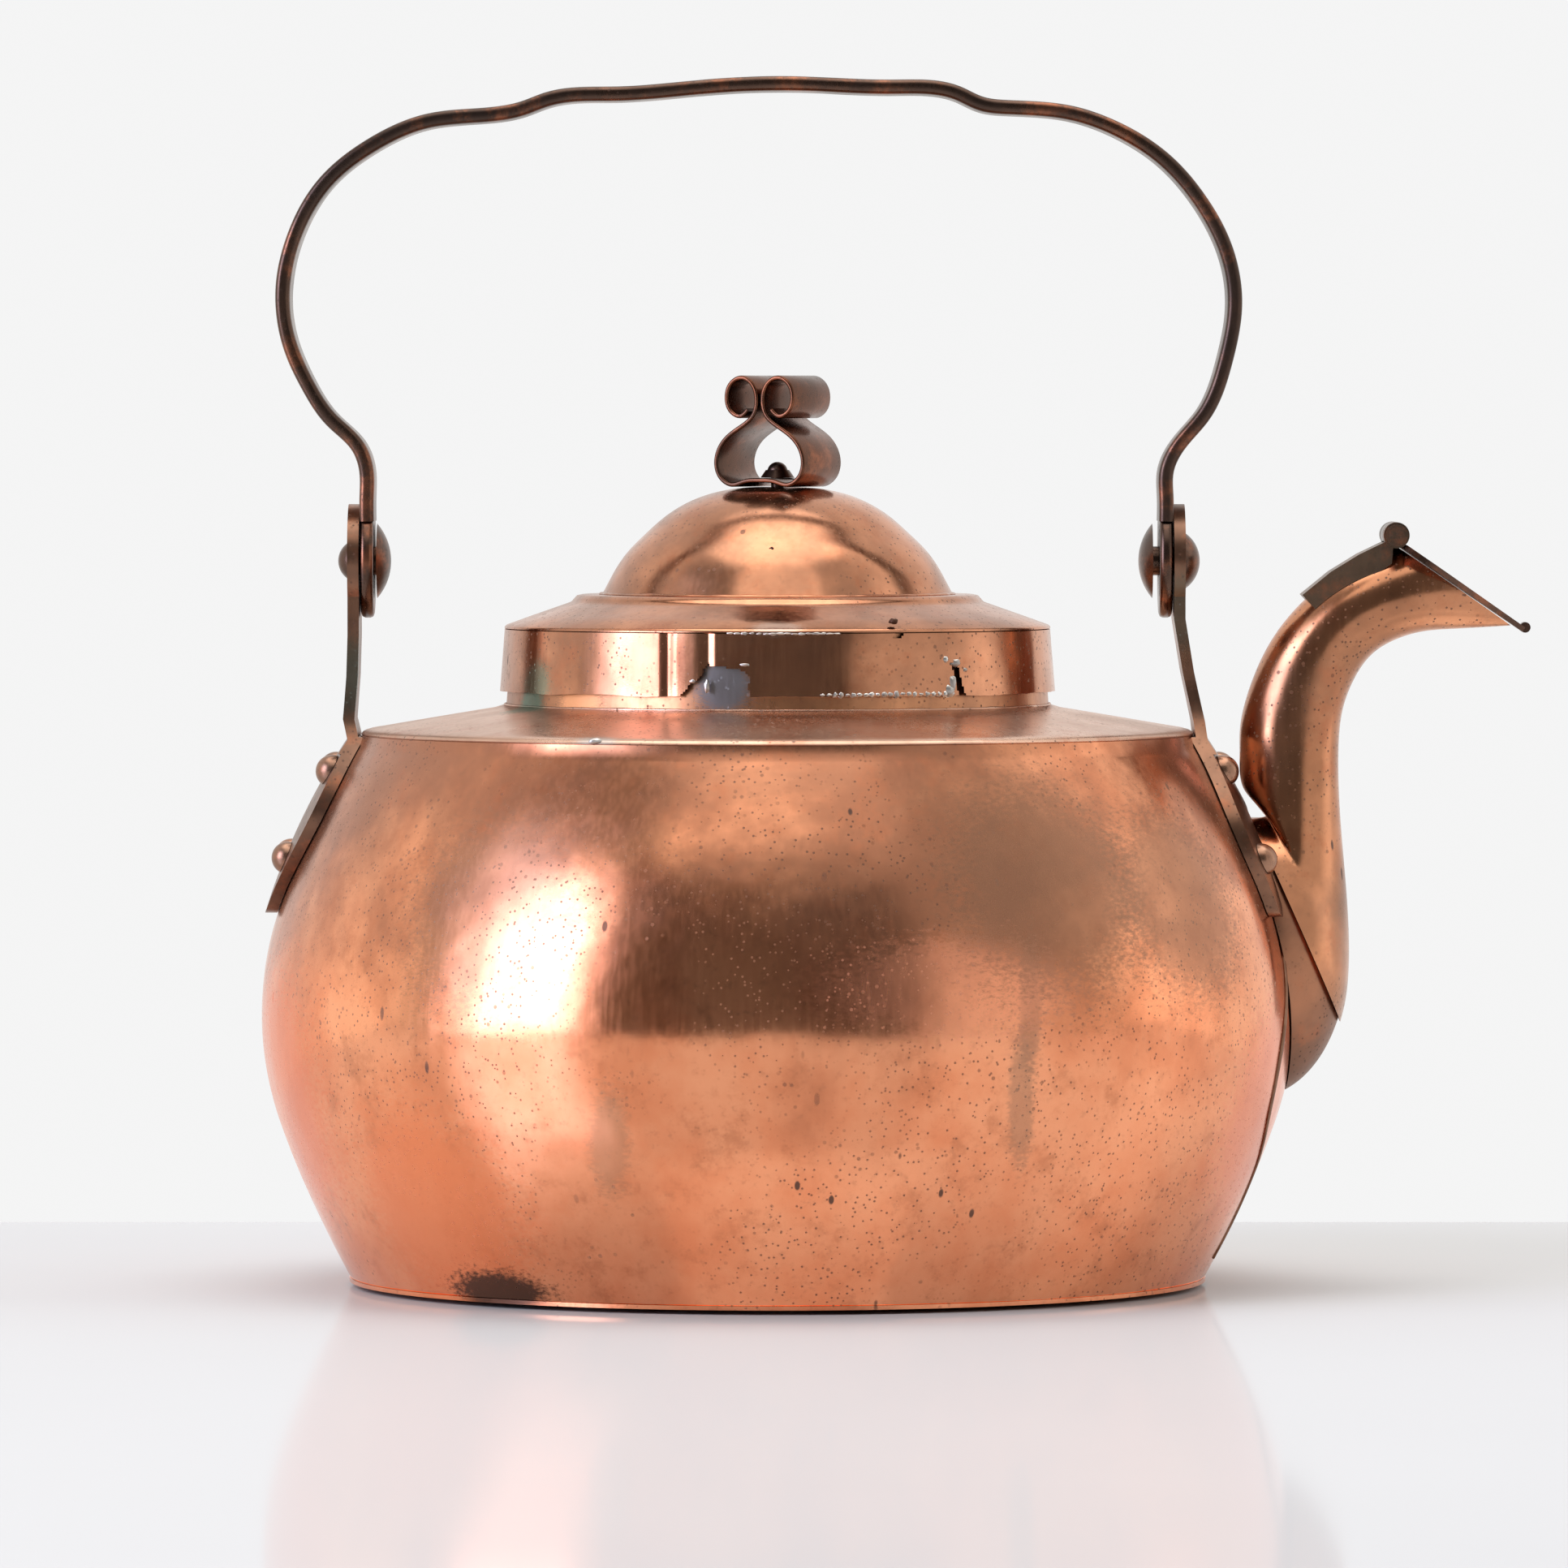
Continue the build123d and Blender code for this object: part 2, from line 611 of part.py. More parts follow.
# Lugs: the eye and arm are flat strap, the leaf follows the bowl
def lug_outline(outline, reach):
    """The lug's outline in the YZ plane, extruded both ways."""
    with BuildPart() as block:
        with BuildSketch(Plane.YZ):
            with BuildLine():
                side = Spline(*outline[0], tangents=[(0, -1), outline[2]])
                other = Spline(*[(-y, z) for y, z in outline[0]], tangents=[(0, -1), (-outline[2][0], outline[2][1])])
                top = outline[0][0]
                Line((top[0], top[1]), (-top[0], top[1]))
                if outline[1]:
                    inner = [(y, z) for y, z in outline[1]]
                    Polyline(side @ 1, *inner, *[(-y, z) for y, z in reversed(inner[:-1])], other @ 1)
            make_face()
        extrude(amount=reach, both=True)
    return block.part


def eye_block(reach):
    """The lug's eye and the straight part of its arm, extruded both ways."""
    with BuildPart() as block:
        with BuildSketch(Plane.YZ):
            with Locations((0, PIVOT_HEIGHT)):
                Circle(EYE_RADIUS)
            with Locations((0, 147)):
                Rectangle(2 * LUG_ARM_HALF_WIDTH, PIVOT_HEIGHT - 147, align=(Align.CENTER, Align.MIN))
        extrude(amount=reach, both=True)
    return block.part


def lug_arm(points):
    """The arm's side view as a strip of even thickness about its middle line."""
    half = LUG_THICKNESS / 2
    with BuildPart() as strip:
        with BuildSketch(Plane.XZ):
            with BuildLine():
                one = [(x - half, z) for x, z in points]
                two = [(x + half, z) for x, z in reversed(points)]
                Polyline(*one, *two, close=True)
            make_face()
        extrude(amount=60, both=True)
    return strip.part


def make_lug(side, middle_line, outline):
    """One lug: side is +1 by the spout and -1 at the back."""
    low = SHOULDER_HEIGHT - 200 - MOVING_GAP
    half_space = Pos(side * 150, 0, low) * Box(300, 400, 400)
    leaf_skin = bowl_skin(SEAT_GAP, SEAT_GAP + LUG_THICKNESS) & half_space
    shape = lug_outline(outline, 160)
    leaf = leaf_skin & shape
    arm = lug_arm(middle_line) & (shape + eye_block(160))
    arm = arm - bowl_core(SEAT_GAP)
    lug = leaf + arm
    pivot_x = middle_line[0][0]
    lug = lug - (Pos(pivot_x, 0, PIVOT_HEIGHT) * Rot(0, 90, 0) * Cylinder(PIVOT_RADIUS, 20))
    for plane in leaf_planes(side):
        lug = lug - (plane * Cylinder(RIVET_RADIUS, 12))
    return lug


ARM_FOOT_HEIGHT = 131.0


def make_lug_back():
    foot = -(bowl_radius(ARM_FOOT_HEIGHT) + SEAT_GAP + LUG_THICKNESS / 2)
    bend = -(bowl_radius(SHOULDER_HEIGHT - 1) + SEAT_GAP + LUG_THICKNESS / 2)
    middle_line = (
        (BACK_LUG_X, PIVOT_HEIGHT + EYE_RADIUS + 1),
        (BACK_LUG_X, 160.0),
        (BACK_LUG_X - 0.3, 150.0),
        (BACK_LUG_X - 1.1, 139.5),
        (bend, SHOULDER_HEIGHT - 1),
        (foot, ARM_FOOT_HEIGHT),
    )
    outline = (
        (
            (LUG_ARM_HALF_WIDTH, 149.0),
            (LUG_ARM_HALF_WIDTH + 1.6, 138.0),
            (LEAF_HALF_WIDTH - 3.5, 127.0),
            (LEAF_HALF_WIDTH, LEAF_WIDEST_HEIGHT),
            (LEAF_HALF_WIDTH - 4.0, 105.0),
            (LEAF_HALF_WIDTH - 13.0, 95.0),
            (0, LEAF_TIP_HEIGHT),
        ),
        (),
        (-1, 0),
    )
    return make_lug(-1, middle_line, outline)


# Spout lug: its leaf is forked, one leg each side of the spout's root
FORK_TIP = 25.6
FORK_CROTCH_HEIGHT = 119.5


def make_lug_front():
    foot = bowl_radius(ARM_FOOT_HEIGHT) + SEAT_GAP + LUG_THICKNESS / 2
    bend = bowl_radius(SHOULDER_HEIGHT - 1) + SEAT_GAP + LUG_THICKNESS / 2
    middle_line = (
        (SPOUT_LUG_X, PIVOT_HEIGHT + EYE_RADIUS + 1),
        (SPOUT_LUG_X, 164.0),
        (SPOUT_LUG_X + 2.1, 151.0),
        (bend - 0.6, SHOULDER_HEIGHT + 3.5),
        (bend, SHOULDER_HEIGHT - 1),
        (foot, ARM_FOOT_HEIGHT),
    )
    outline = (
        (
            (LUG_ARM_HALF_WIDTH, 149.0),
            (LUG_ARM_HALF_WIDTH + 2.4, 139.0),
            (FORK_TIP - 5.0, 128.0),
            (FORK_TIP + 2.6, 117.0),
            (FORK_TIP + 4.9, 105.0),
            (FORK_TIP + 3.4, 95.0),
            (FORK_TIP, LEAF_TIP_HEIGHT),
        ),
        (
            (FORK_TIP - 3.2, LEAF_TIP_HEIGHT + 2.4),
            (FORK_TIP - 7.6, 106.0),
            (FORK_TIP - 14.0, FORK_CROTCH_HEIGHT - 2.5),
            (0, FORK_CROTCH_HEIGHT),
        ),
        (-1, 0),
    )
    lug = make_lug(1, middle_line, outline)
    lug = lug - root_form(MOVING_GAP) - spout_form(MOVING_GAP)
    return max(lug.solids(), key=lambda solid: solid.volume)


# Leaf rivets: four to a lug, round heads outside and low burrs inside the bowl
def make_lug_rivets(side):
    outer = LUG_THICKNESS + SEAT_GAP
    low = -WALL_SHEET - RIVET_BURR_HEIGHT - 0.1
    up = (Align.CENTER, Align.CENTER, Align.MIN)
    rivet = Pos(0, 0, low) * Cylinder(RIVET_RADIUS, outer + 0.6 - low, align=up)
    rivet = rivet + Pos(0, 0, low) * Cylinder(RIVET_BURR_RADIUS, RIVET_BURR_HEIGHT, align=up)
    rivet = rivet + Pos(0, 0, outer + SEAT_GAP) * rivet_head(RIVET_HEAD_RADIUS, RIVET_HEAD_HEIGHT)
    return Compound(children=[plane.location * rivet for plane in leaf_planes(side)])


def rivet_head(radius, height):
    """A domed head standing on its own base plane."""
    curve = (radius**2 + height**2) / (2 * height)
    ball = Pos(0, 0, height - curve) * Sphere(curve)
    return ball & (Pos(0, 0, 0) * Cylinder(2 * radius, height + 1, align=(Align.CENTER, Align.CENTER, Align.MIN)))


# Pivot rivets: each runs through a lug and one of the bail's eyes
def make_pivot_rivet(side, lug_x, play, small_head, small_height):
    outside = lug_x + side * (LUG_THICKNESS / 2 + SEAT_GAP)
    inside = lug_x - side * (LUG_THICKNESS / 2 + MOVING_GAP + BAIL_EYE_THICKNESS + play)
    length = abs(outside - inside)
    middle = (outside + inside) / 2
    turn_out = Rot(0, 90 * side, 0)
    turn_in = Rot(0, -90 * side, 0)
    shank = Pos(middle, 0, PIVOT_HEIGHT) * Rot(0, 90, 0) * Cylinder(PIVOT_RADIUS, length + 1)
    small = Pos(outside, 0, PIVOT_HEIGHT) * turn_out * rivet_head(small_head, small_height)
    big = Pos(inside, 0, PIVOT_HEIGHT) * turn_in * rivet_head(PIVOT_BIG_HEAD, PIVOT_BIG_HEAD_HEIGHT)
    return shank + small + big


# Bail: a strap bow with a joggle each side of the raised grip, ending in round eyes
BAIL_BACK_X = BACK_LUG_X + LUG_THICKNESS / 2 + MOVING_GAP + BAIL_EYE_THICKNESS / 2
BAIL_SPOUT_X = SPOUT_LUG_X - LUG_THICKNESS / 2 - MOVING_GAP - BAIL_EYE_THICKNESS / 2
BAIL_PATH = (
    (BAIL_BACK_X, 188.0),
    (BAIL_BACK_X, 194.0),
    (BAIL_BACK_X, 200.0),
    (BAIL_BACK_X - 2.2, 206.5),
    (-109.4, 212.8),
    (-115.4, 221.6),
    (-119.6, 231.0),
    (-121.5, 243.2),
    (-118.6, 258.0),
    (-110.6, 271.6),
    (-100.1, 280.0),
    (-86.0, 286.2),
    (-69.0, 288.0),
    (-62.6, 289.3),
    (-56.6, 291.5),
    (-39.9, 292.9),
    (-18.0, 294.6),
    (5.2, 295.4),
    (28.0, 294.6),
    (44.6, 292.9),
    (49.6, 290.6),
    (56.6, 289.6),
    (72.0, 288.2),
    (84.2, 283.8),
    (94.8, 276.9),
    (104.1, 266.2),
    (110.1, 254.6),
    (112.3, 241.4),
    (110.0, 227.4),
    (104.6, 214.0),
    (98.6, 206.8),
    (BAIL_SPOUT_X, 200.0),
    (BAIL_SPOUT_X, 194.0),
    (BAIL_SPOUT_X, 188.0),
)


BAIL_STEPS = 110


def make_bail_handle():
    half = BAIL_THICKNESS / 2
    middle = Spline(*BAIL_PATH, tangents=[(0, 1), (0, -1)])
    outer = []
    inner = []
    for step in range(BAIL_STEPS + 1):
        point = middle @ (step / BAIL_STEPS)
        along = middle % (step / BAIL_STEPS)
        outer.append((point.X - half * along.Y, point.Y + half * along.X))
        inner.append((point.X + half * along.Y, point.Y - half * along.X))
    with BuildPart() as bail_handle:
        with BuildSketch(Plane.XZ):
            with BuildLine():
                Polyline(*outer, *reversed(inner), close=True)
            make_face()
        extrude(amount=BAIL_WIDTH / 2, both=True)
        for eye_x in (BAIL_BACK_X, BAIL_SPOUT_X):
            with BuildSketch(Plane.YZ.offset(eye_x - BAIL_EYE_THICKNESS / 2)):
                with Locations((0, PIVOT_HEIGHT)):
                    Circle(EYE_RADIUS)
                    Rectangle(BAIL_WIDTH, BAIL_EYE_RISE, align=(Align.CENTER, Align.MIN))
            extrude(amount=BAIL_EYE_THICKNESS)
            with Locations((eye_x, 0, PIVOT_HEIGHT)):
                Cylinder(PIVOT_RADIUS + BORE_GAP, 12, rotation=(0, 90, 0), mode=Mode.SUBTRACT)
    return bail_handle.part


os.makedirs("parts", exist_ok=True)

export(make_body_wall(), "body_wall")
export(make_base_plate(), "base_plate")
export(make_shoulder_plate(), "shoulder_plate")
export(
    tapered_ring(
        COLLAR_RADIUS,
        COLLAR_RADIUS - COLLAR_TAPER,
        COLLAR_SHEET,
        COLLAR_FOOT_HEIGHT,
        COLLAR_TOP_HEIGHT,
    ),
    "neck_collar",
)
export(
    tapered_ring(SKIRT_FOOT_RADIUS, SKIRT_TOP_RADIUS, LID_SHEET, SKIRT_FOOT_HEIGHT, SKIRT_TOP_HEIGHT),
    "lid_skirt",
)
export(make_lid_top(), "lid_top")
export(make_lid_dome(), "lid_dome")
export(make_lid_knob(), "lid_knob")
export(make_knob_washer(), "knob_washer")
export(make_knob_rivet(), "knob_rivet")
export(make_spout_root(), "spout_root")
export(make_spout_tube(), "spout_tube")
export(make_spout_hinge_leaf(), "spout_hinge_leaf")
export(make_spout_hinge_pin(), "spout_hinge_pin")
export(make_spout_flap(), "spout_flap")
export(make_lug_back(), "lug_back")
export(make_lug_front(), "lug_front")
export(make_lug_rivets(-1), "lug_back_rivets")
export(make_lug_rivets(1), "lug_front_rivets")
export(make_pivot_rivet(-1, BACK_LUG_X, BACK_HEAD_PLAY, 4.6, 2.6), "pivot_rivet_back")
export(make_pivot_rivet(1, SPOUT_LUG_X, SPOUT_HEAD_PLAY, 7.0, 3.8), "pivot_rivet_front")
export(make_bail_handle(), "bail_handle")
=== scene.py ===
import json
from math import atan2, cos, degrees, hypot, pi, radians, sin, sqrt

import bmesh
import bpy
import numpy as np
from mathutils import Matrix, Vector, noise


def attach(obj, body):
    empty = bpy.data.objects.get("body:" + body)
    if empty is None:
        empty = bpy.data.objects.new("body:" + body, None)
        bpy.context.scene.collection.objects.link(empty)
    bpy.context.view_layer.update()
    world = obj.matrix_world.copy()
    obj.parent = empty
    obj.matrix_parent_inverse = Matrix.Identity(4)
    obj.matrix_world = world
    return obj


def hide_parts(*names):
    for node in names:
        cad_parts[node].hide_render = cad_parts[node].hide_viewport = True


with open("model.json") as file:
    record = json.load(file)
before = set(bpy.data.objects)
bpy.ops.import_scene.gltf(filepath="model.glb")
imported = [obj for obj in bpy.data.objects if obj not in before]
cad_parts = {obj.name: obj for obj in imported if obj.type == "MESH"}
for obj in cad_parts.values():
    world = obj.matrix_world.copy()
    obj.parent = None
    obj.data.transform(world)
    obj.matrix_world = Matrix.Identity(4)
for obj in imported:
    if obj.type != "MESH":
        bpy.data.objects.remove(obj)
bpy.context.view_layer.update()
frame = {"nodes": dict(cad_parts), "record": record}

# Lengths are millimetres until a mesh is made; z is 0 on the table and x is 0 on the pot's axis
MM = 0.001

# The photograph: millimetres to a pixel, the column of the pot's axis and the row of z = 0 there
PIXEL = 0.2
AXIS_COLUMN = 958
TABLE_ROW = 1582
PHOTO_WIDTH = 1932


# Helpers for meshes

def make_object(name, verts, faces, material, body, nodes=(), slot=None, sharp=40):
    """A smooth-shaded piece that rides on a body and may stand for CAD nodes; sharp is in degrees."""
    mesh = bpy.data.meshes.new(name)
    mesh.from_pydata([(x * MM, y * MM, z * MM) for x, y, z in verts], [], faces)
    mesh.validate()
    mesh.update()
    bm = bmesh.new()
    bm.from_mesh(mesh)
    bmesh.ops.recalc_face_normals(bm, faces=bm.faces)
    bm.to_mesh(mesh)
    bm.free()
    mesh.shade_smooth()
    mesh.set_sharp_from_angle(angle=radians(sharp))
    mesh.materials.append(material)
    obj = bpy.data.objects.new(name, mesh)
    bpy.context.scene.collection.objects.link(obj)
    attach(obj, body)
    if nodes:
        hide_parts(*nodes)
    return obj


def grid(rows, close_rows=True):
    """Vertices and faces of rings joined in order; each ring is closed."""
    count = len(rows[0])
    verts = [v for row in rows for v in row]
    faces = []
    last = len(rows) if close_rows else len(rows) - 1
    for i in range(last):
        a = i * count
        b = ((i + 1) % len(rows)) * count
        for j in range(count):
            k = (j + 1) % count
            faces.append((a + j, a + k, b + k, b + j))
    return verts, faces


def capped(rows):
    """Rings joined in order, with a face over the first and the last ring."""
    verts, faces = grid(rows, close_rows=False)
    count = len(rows[0])
    faces.append(tuple(range(count)))
    faces.append(tuple(range(len(verts) - count, len(verts))))
    return verts, faces


def merge(*parts):
    """One list of vertices and one of faces from several."""
    verts, faces = [], []
    for part_verts, part_faces in parts:
        start = len(verts)
        verts.extend(part_verts)
        faces.extend([tuple(i + start for i in face) for face in part_faces])
    return verts, faces


def turns(count):
    """The angles of a full turn in equal steps."""
    return [2 * pi * k / count for k in range(count)]


def revolve(profile, segments=256, shape=None):
    """A closed profile of (radius, z) turned about Z; shape(x, y, z) may move a vertex."""
    rows = []
    for radius, z in profile:
        row = []
        for a in turns(segments):
            p = (radius * cos(a), radius * sin(a), z)
            row.append(shape(*p) if shape else p)
        rows.append(row)
    return grid(rows)


def spline(points, count):
    """A natural cubic spline through points, sampled evenly by chord length."""
    p = np.array(points, float)
    t = np.concatenate([[0], np.cumsum(np.linalg.norm(np.diff(p, axis=0), axis=1))])
    n = len(p)
    h = np.diff(t)
    a = np.zeros((n, n))
    rhs = np.zeros((n, p.shape[1]))
    a[0, 0] = a[-1, -1] = 1
    for i in range(1, n - 1):
        a[i, i - 1], a[i, i], a[i, i + 1] = h[i - 1], 2 * (h[i - 1] + h[i]), h[i]
        rhs[i] = 6 * ((p[i + 1] - p[i]) / h[i] - (p[i] - p[i - 1]) / h[i - 1])
    m = np.linalg.solve(a, rhs)
    out = []
    for s in np.linspace(0, t[-1], count):
        i = min(max(int(np.searchsorted(t, s)) - 1, 0), n - 2)
        u, v = t[i + 1] - s, s - t[i]
        out.append(
            (m[i] * u**3 + m[i + 1] * v**3) / (6 * h[i])
            + (p[i] / h[i] - m[i] * h[i] / 6) * u
            + (p[i + 1] / h[i] - m[i + 1] * h[i] / 6) * v
        )
    return np.array(out)


def rounded(width, thick, edge, steps=3):
    """Corner points of a rounded rectangle, (across, through)."""
    pts = []
    for cx, cy, start in ((1, 1, 0), (-1, 1, 90), (-1, -1, 180), (1, -1, 270)):
        for k in range(steps + 1):
            a = radians(start + 90 * k / steps)
            across = cx * (width / 2 - edge) + edge * cos(a)
            through = cy * (thick / 2 - edge) + edge * sin(a)
            pts.append((across, through))
    return pts


def strap(path, section, frame_of):
    """A strap along a flat path; frame_of maps (along x, along z, across) to space."""
    rows = []
    for i, (x, z) in enumerate(path):
        before = path[max(i - 1, 0)]
        after = path[min(i + 1, len(path) - 1)]
        d = np.array(after) - np.array(before)
        d /= np.linalg.norm(d)
        row = []
        for across, through in section(i / (len(path) - 1)):
            row.append(frame_of(x - d[1] * through, z + d[0] * through, across))
        rows.append(row)
    return capped(rows)


def wave(x, y, z, size, seed=0.0):
    """Smooth noise in space, about -1 to 1, with waves of a size."""
    return noise.noise(Vector((x / size + seed, y / size - seed, z / size + 2 * seed)))


def ring_wave(angle, size, seed):
    """Smooth noise round a circle of a size, so that it closes on itself."""
    return noise.noise(Vector((size * cos(angle), size * sin(angle), seed)))


def half_up(value):
    """A noise of -1 to 1 as 0 to 1."""
    return 0.5 + 0.5 * value


def dent(x, y, z, depth, size, seed):
    """How far a smooth dent sinks at a point, from 0 to a depth."""
    return depth * half_up(wave(x, y, z, size, seed))


def behind_pixel(px, py, radius_at):
    """The point of a round wall's near side that a pixel of the photograph shows."""
    x, z = (px - AXIS_COLUMN) * PIXEL, (TABLE_ROW - py) * PIXEL
    r = radius_at(z)
    return x, -sqrt(r * r - x * x), z


# Materials

RAGGED_SPREAD = 1.7
RAGGED_LEAST = 0.15


class Tree:
    """Short words for making the nodes of a material or a world."""

    def __init__(self, tree):
        self.t = tree

    def new(self, kind, **values):
        node = self.t.nodes.new(kind)
        for key, value in values.items():
            setattr(node, key, value)
        return node

    def link(self, a, b):
        self.t.links.new(a, b)

    def set(self, socket, value):
        if isinstance(value, bpy.types.NodeSocket):
            self.link(value, socket)
        else:
            socket.default_value = value

    def coords(self, scale=(1, 1, 1)):
        """The object's own coordinates; a small scale stretches a pattern along that axis."""
        where = self.new("ShaderNodeTexCoord")
        mapping = self.new("ShaderNodeMapping")
        mapping.inputs["Scale"].default_value = scale
        self.link(where.outputs["Object"], mapping.inputs["Vector"])
        return mapping.outputs[0]

    def noise(self, scale, detail, rough, coords=None, distort=0.0):
        n = self.new("ShaderNodeTexNoise")
        n.inputs["Scale"].default_value = scale
        n.inputs["Detail"].default_value = detail
        n.inputs["Roughness"].default_value = rough
        n.inputs["Distortion"].default_value = distort
        if coords is not None:
            self.link(coords, n.inputs["Vector"])
        return n.outputs["Fac"]

    def spots(self, scale, size, coords):
        """1 in round spots, one to a cell, with soft edges."""
        n = self.new("ShaderNodeTexVoronoi")
        n.inputs["Scale"].default_value = scale
        self.link(coords, n.inputs["Vector"])
        return self.ramp(n.outputs["Distance"], size, size * 0.6)

    def ramp(self, value, low, high, out_low=0.0, out_high=1.0):
        """A smooth step from one output to the other between two values."""
        n = self.new("ShaderNodeMapRange", interpolation_type="SMOOTHSTEP")
        self.set(n.inputs["Value"], value)
        for key, v in zip(("From Min", "From Max", "To Min", "To Max"), (low, high, out_low, out_high)):
            n.inputs[key].default_value = v
        return n.outputs["Result"]

    def math(self, op, *values):
        n = self.new("ShaderNodeMath", operation=op)
        for socket, value in zip(n.inputs, values):
            self.set(socket, value)
        return n.outputs[0]

    def add(self, a, b):
        return self.math("ADD", a, b)

    def times(self, a, b):
        return self.math("MULTIPLY", a, b)

    def most(self, a, b):
        return self.math("MAXIMUM", a, b)

    def mix(self, fac, a, b):
        n = self.new("ShaderNodeMix", data_type="RGBA")
        self.set(n.inputs["Factor"], fac)
        self.set(n.inputs[6], (*a, 1) if isinstance(a, tuple) else a)
        self.set(n.inputs[7], (*b, 1) if isinstance(b, tuple) else b)
        return n.outputs[2]

    def height(self):
        """The height in the object's own coordinates."""
        where = self.new("ShaderNodeTexCoord")
        split = self.new("ShaderNodeSeparateXYZ")
        self.link(where.outputs["Object"], split.inputs[0])
        return split.outputs[2]

    def near(self, point_mm, radius_mm, stretch=(1, 1, 1)):
        """1 at a point of the object, fading to 0 at a ragged radius; stretch shortens it along an axis."""
        where = self.new("ShaderNodeTexCoord")
        away = self.new("ShaderNodeVectorMath", operation="SUBTRACT")
        self.link(where.outputs["Object"], away.inputs[0])
        away.inputs[1].default_value = tuple(v * MM for v in point_mm)
        scaled = self.new("ShaderNodeVectorMath", operation="MULTIPLY")
        self.link(away.outputs[0], scaled.inputs[0])
        scaled.inputs[1].default_value = stretch
        distance = self.new("ShaderNodeVectorMath", operation="LENGTH")
        self.link(scaled.outputs[0], distance.inputs[0])
        uneven = self.noise(scale=150, detail=4, rough=0.65)
        ragged = self.math("MULTIPLY_ADD", uneven, RAGGED_SPREAD, RAGGED_LEAST)
        d = self.times(distance.outputs["Value"], ragged)
        return self.ramp(d, radius_mm * MM, radius_mm * MM * 0.5)

    def bump(self, bsdf, layers):
        """Bumps laid one on another, each (height, strength, depth in mm)."""
        last = None
        for height, strength, depth in layers:
            n = self.new("ShaderNodeBump")
            n.inputs["Strength"].default_value = strength
            n.inputs["Distance"].default_value = depth * MM
            self.link(height, n.inputs["Height"])
            if last:
                self.link(last, n.inputs["Normal"])
            last = n.outputs[0]
        self.link(last, bsdf.inputs["Normal"])


def new_material(name):
    mat = bpy.data.materials.new(name)
    mat.use_nodes = True
    return mat, Tree(mat.node_tree), mat.node_tree.nodes["Principled BSDF"]


MOTTLE_RED = (0.5, 0.17, 0.08)
DIRT_BROWN = (0.045, 0.024, 0.017)
VERDIGRIS = (0.16, 0.3, 0.22)
GREEN_DARK = (0.09, 0.13, 0.1)
PATINA_SPREAD = 0.4
PATINA_STRENGTH = 0.84
MOTTLE_STRENGTH = 0.45
FINE_STRENGTH = 0.25
PATINA_ROUGHER = 0.09
DIRT_ROUGHER = 0.25
MARK_ROUGHER = 0.06
LEAST_METALLIC = 0.45


def patina_mask(t, base, cloud, patina, height):
    """0 to 1 in broad patches; height is (low, high, gain) where more of it lies high up than low down."""
    patches = t.noise(scale=11, detail=5, rough=0.6, coords=base, distort=0.6)
    mask = t.add(patches, t.times(t.math("SUBTRACT", cloud, 0.5), 0.5))
    if height:
        low, high, gain = height
        mask = t.add(mask, t.ramp(t.height(), low * MM, high * MM, -gain, gain))
    return t.ramp(mask, 0.54 - patina * PATINA_SPREAD, 0.94 - patina * PATINA_SPREAD)


def in_patches(t, marks, where, low, high, strength):
    """Marks kept only where a noise is high."""
    return t.times(t.times(marks, t.ramp(where, low, high)), strength)


def dirt_mask(t, base, amount):
    """Specks stretched upright, smaller round specks and fine pits."""
    specks = in_patches(
        t, t.spots(scale=125, size=0.1, coords=t.coords(scale=(1, 1, 0.4))),
        t.noise(scale=24, detail=2, rough=0.5, coords=base), low=0.46, high=0.62, strength=amount,
    )
    small = in_patches(
        t, t.spots(scale=330, size=0.2, coords=base),
        t.noise(scale=60, detail=2, rough=0.5, coords=base), low=0.5, high=0.66, strength=0.6 * amount,
    )
    pits = in_patches(
        t, t.spots(scale=640, size=0.24, coords=base),
        t.noise(scale=16, detail=3, rough=0.6, coords=base), low=0.4, high=0.56, strength=0.75 * amount,
    )
    return t.most(specks, t.most(small, pits))


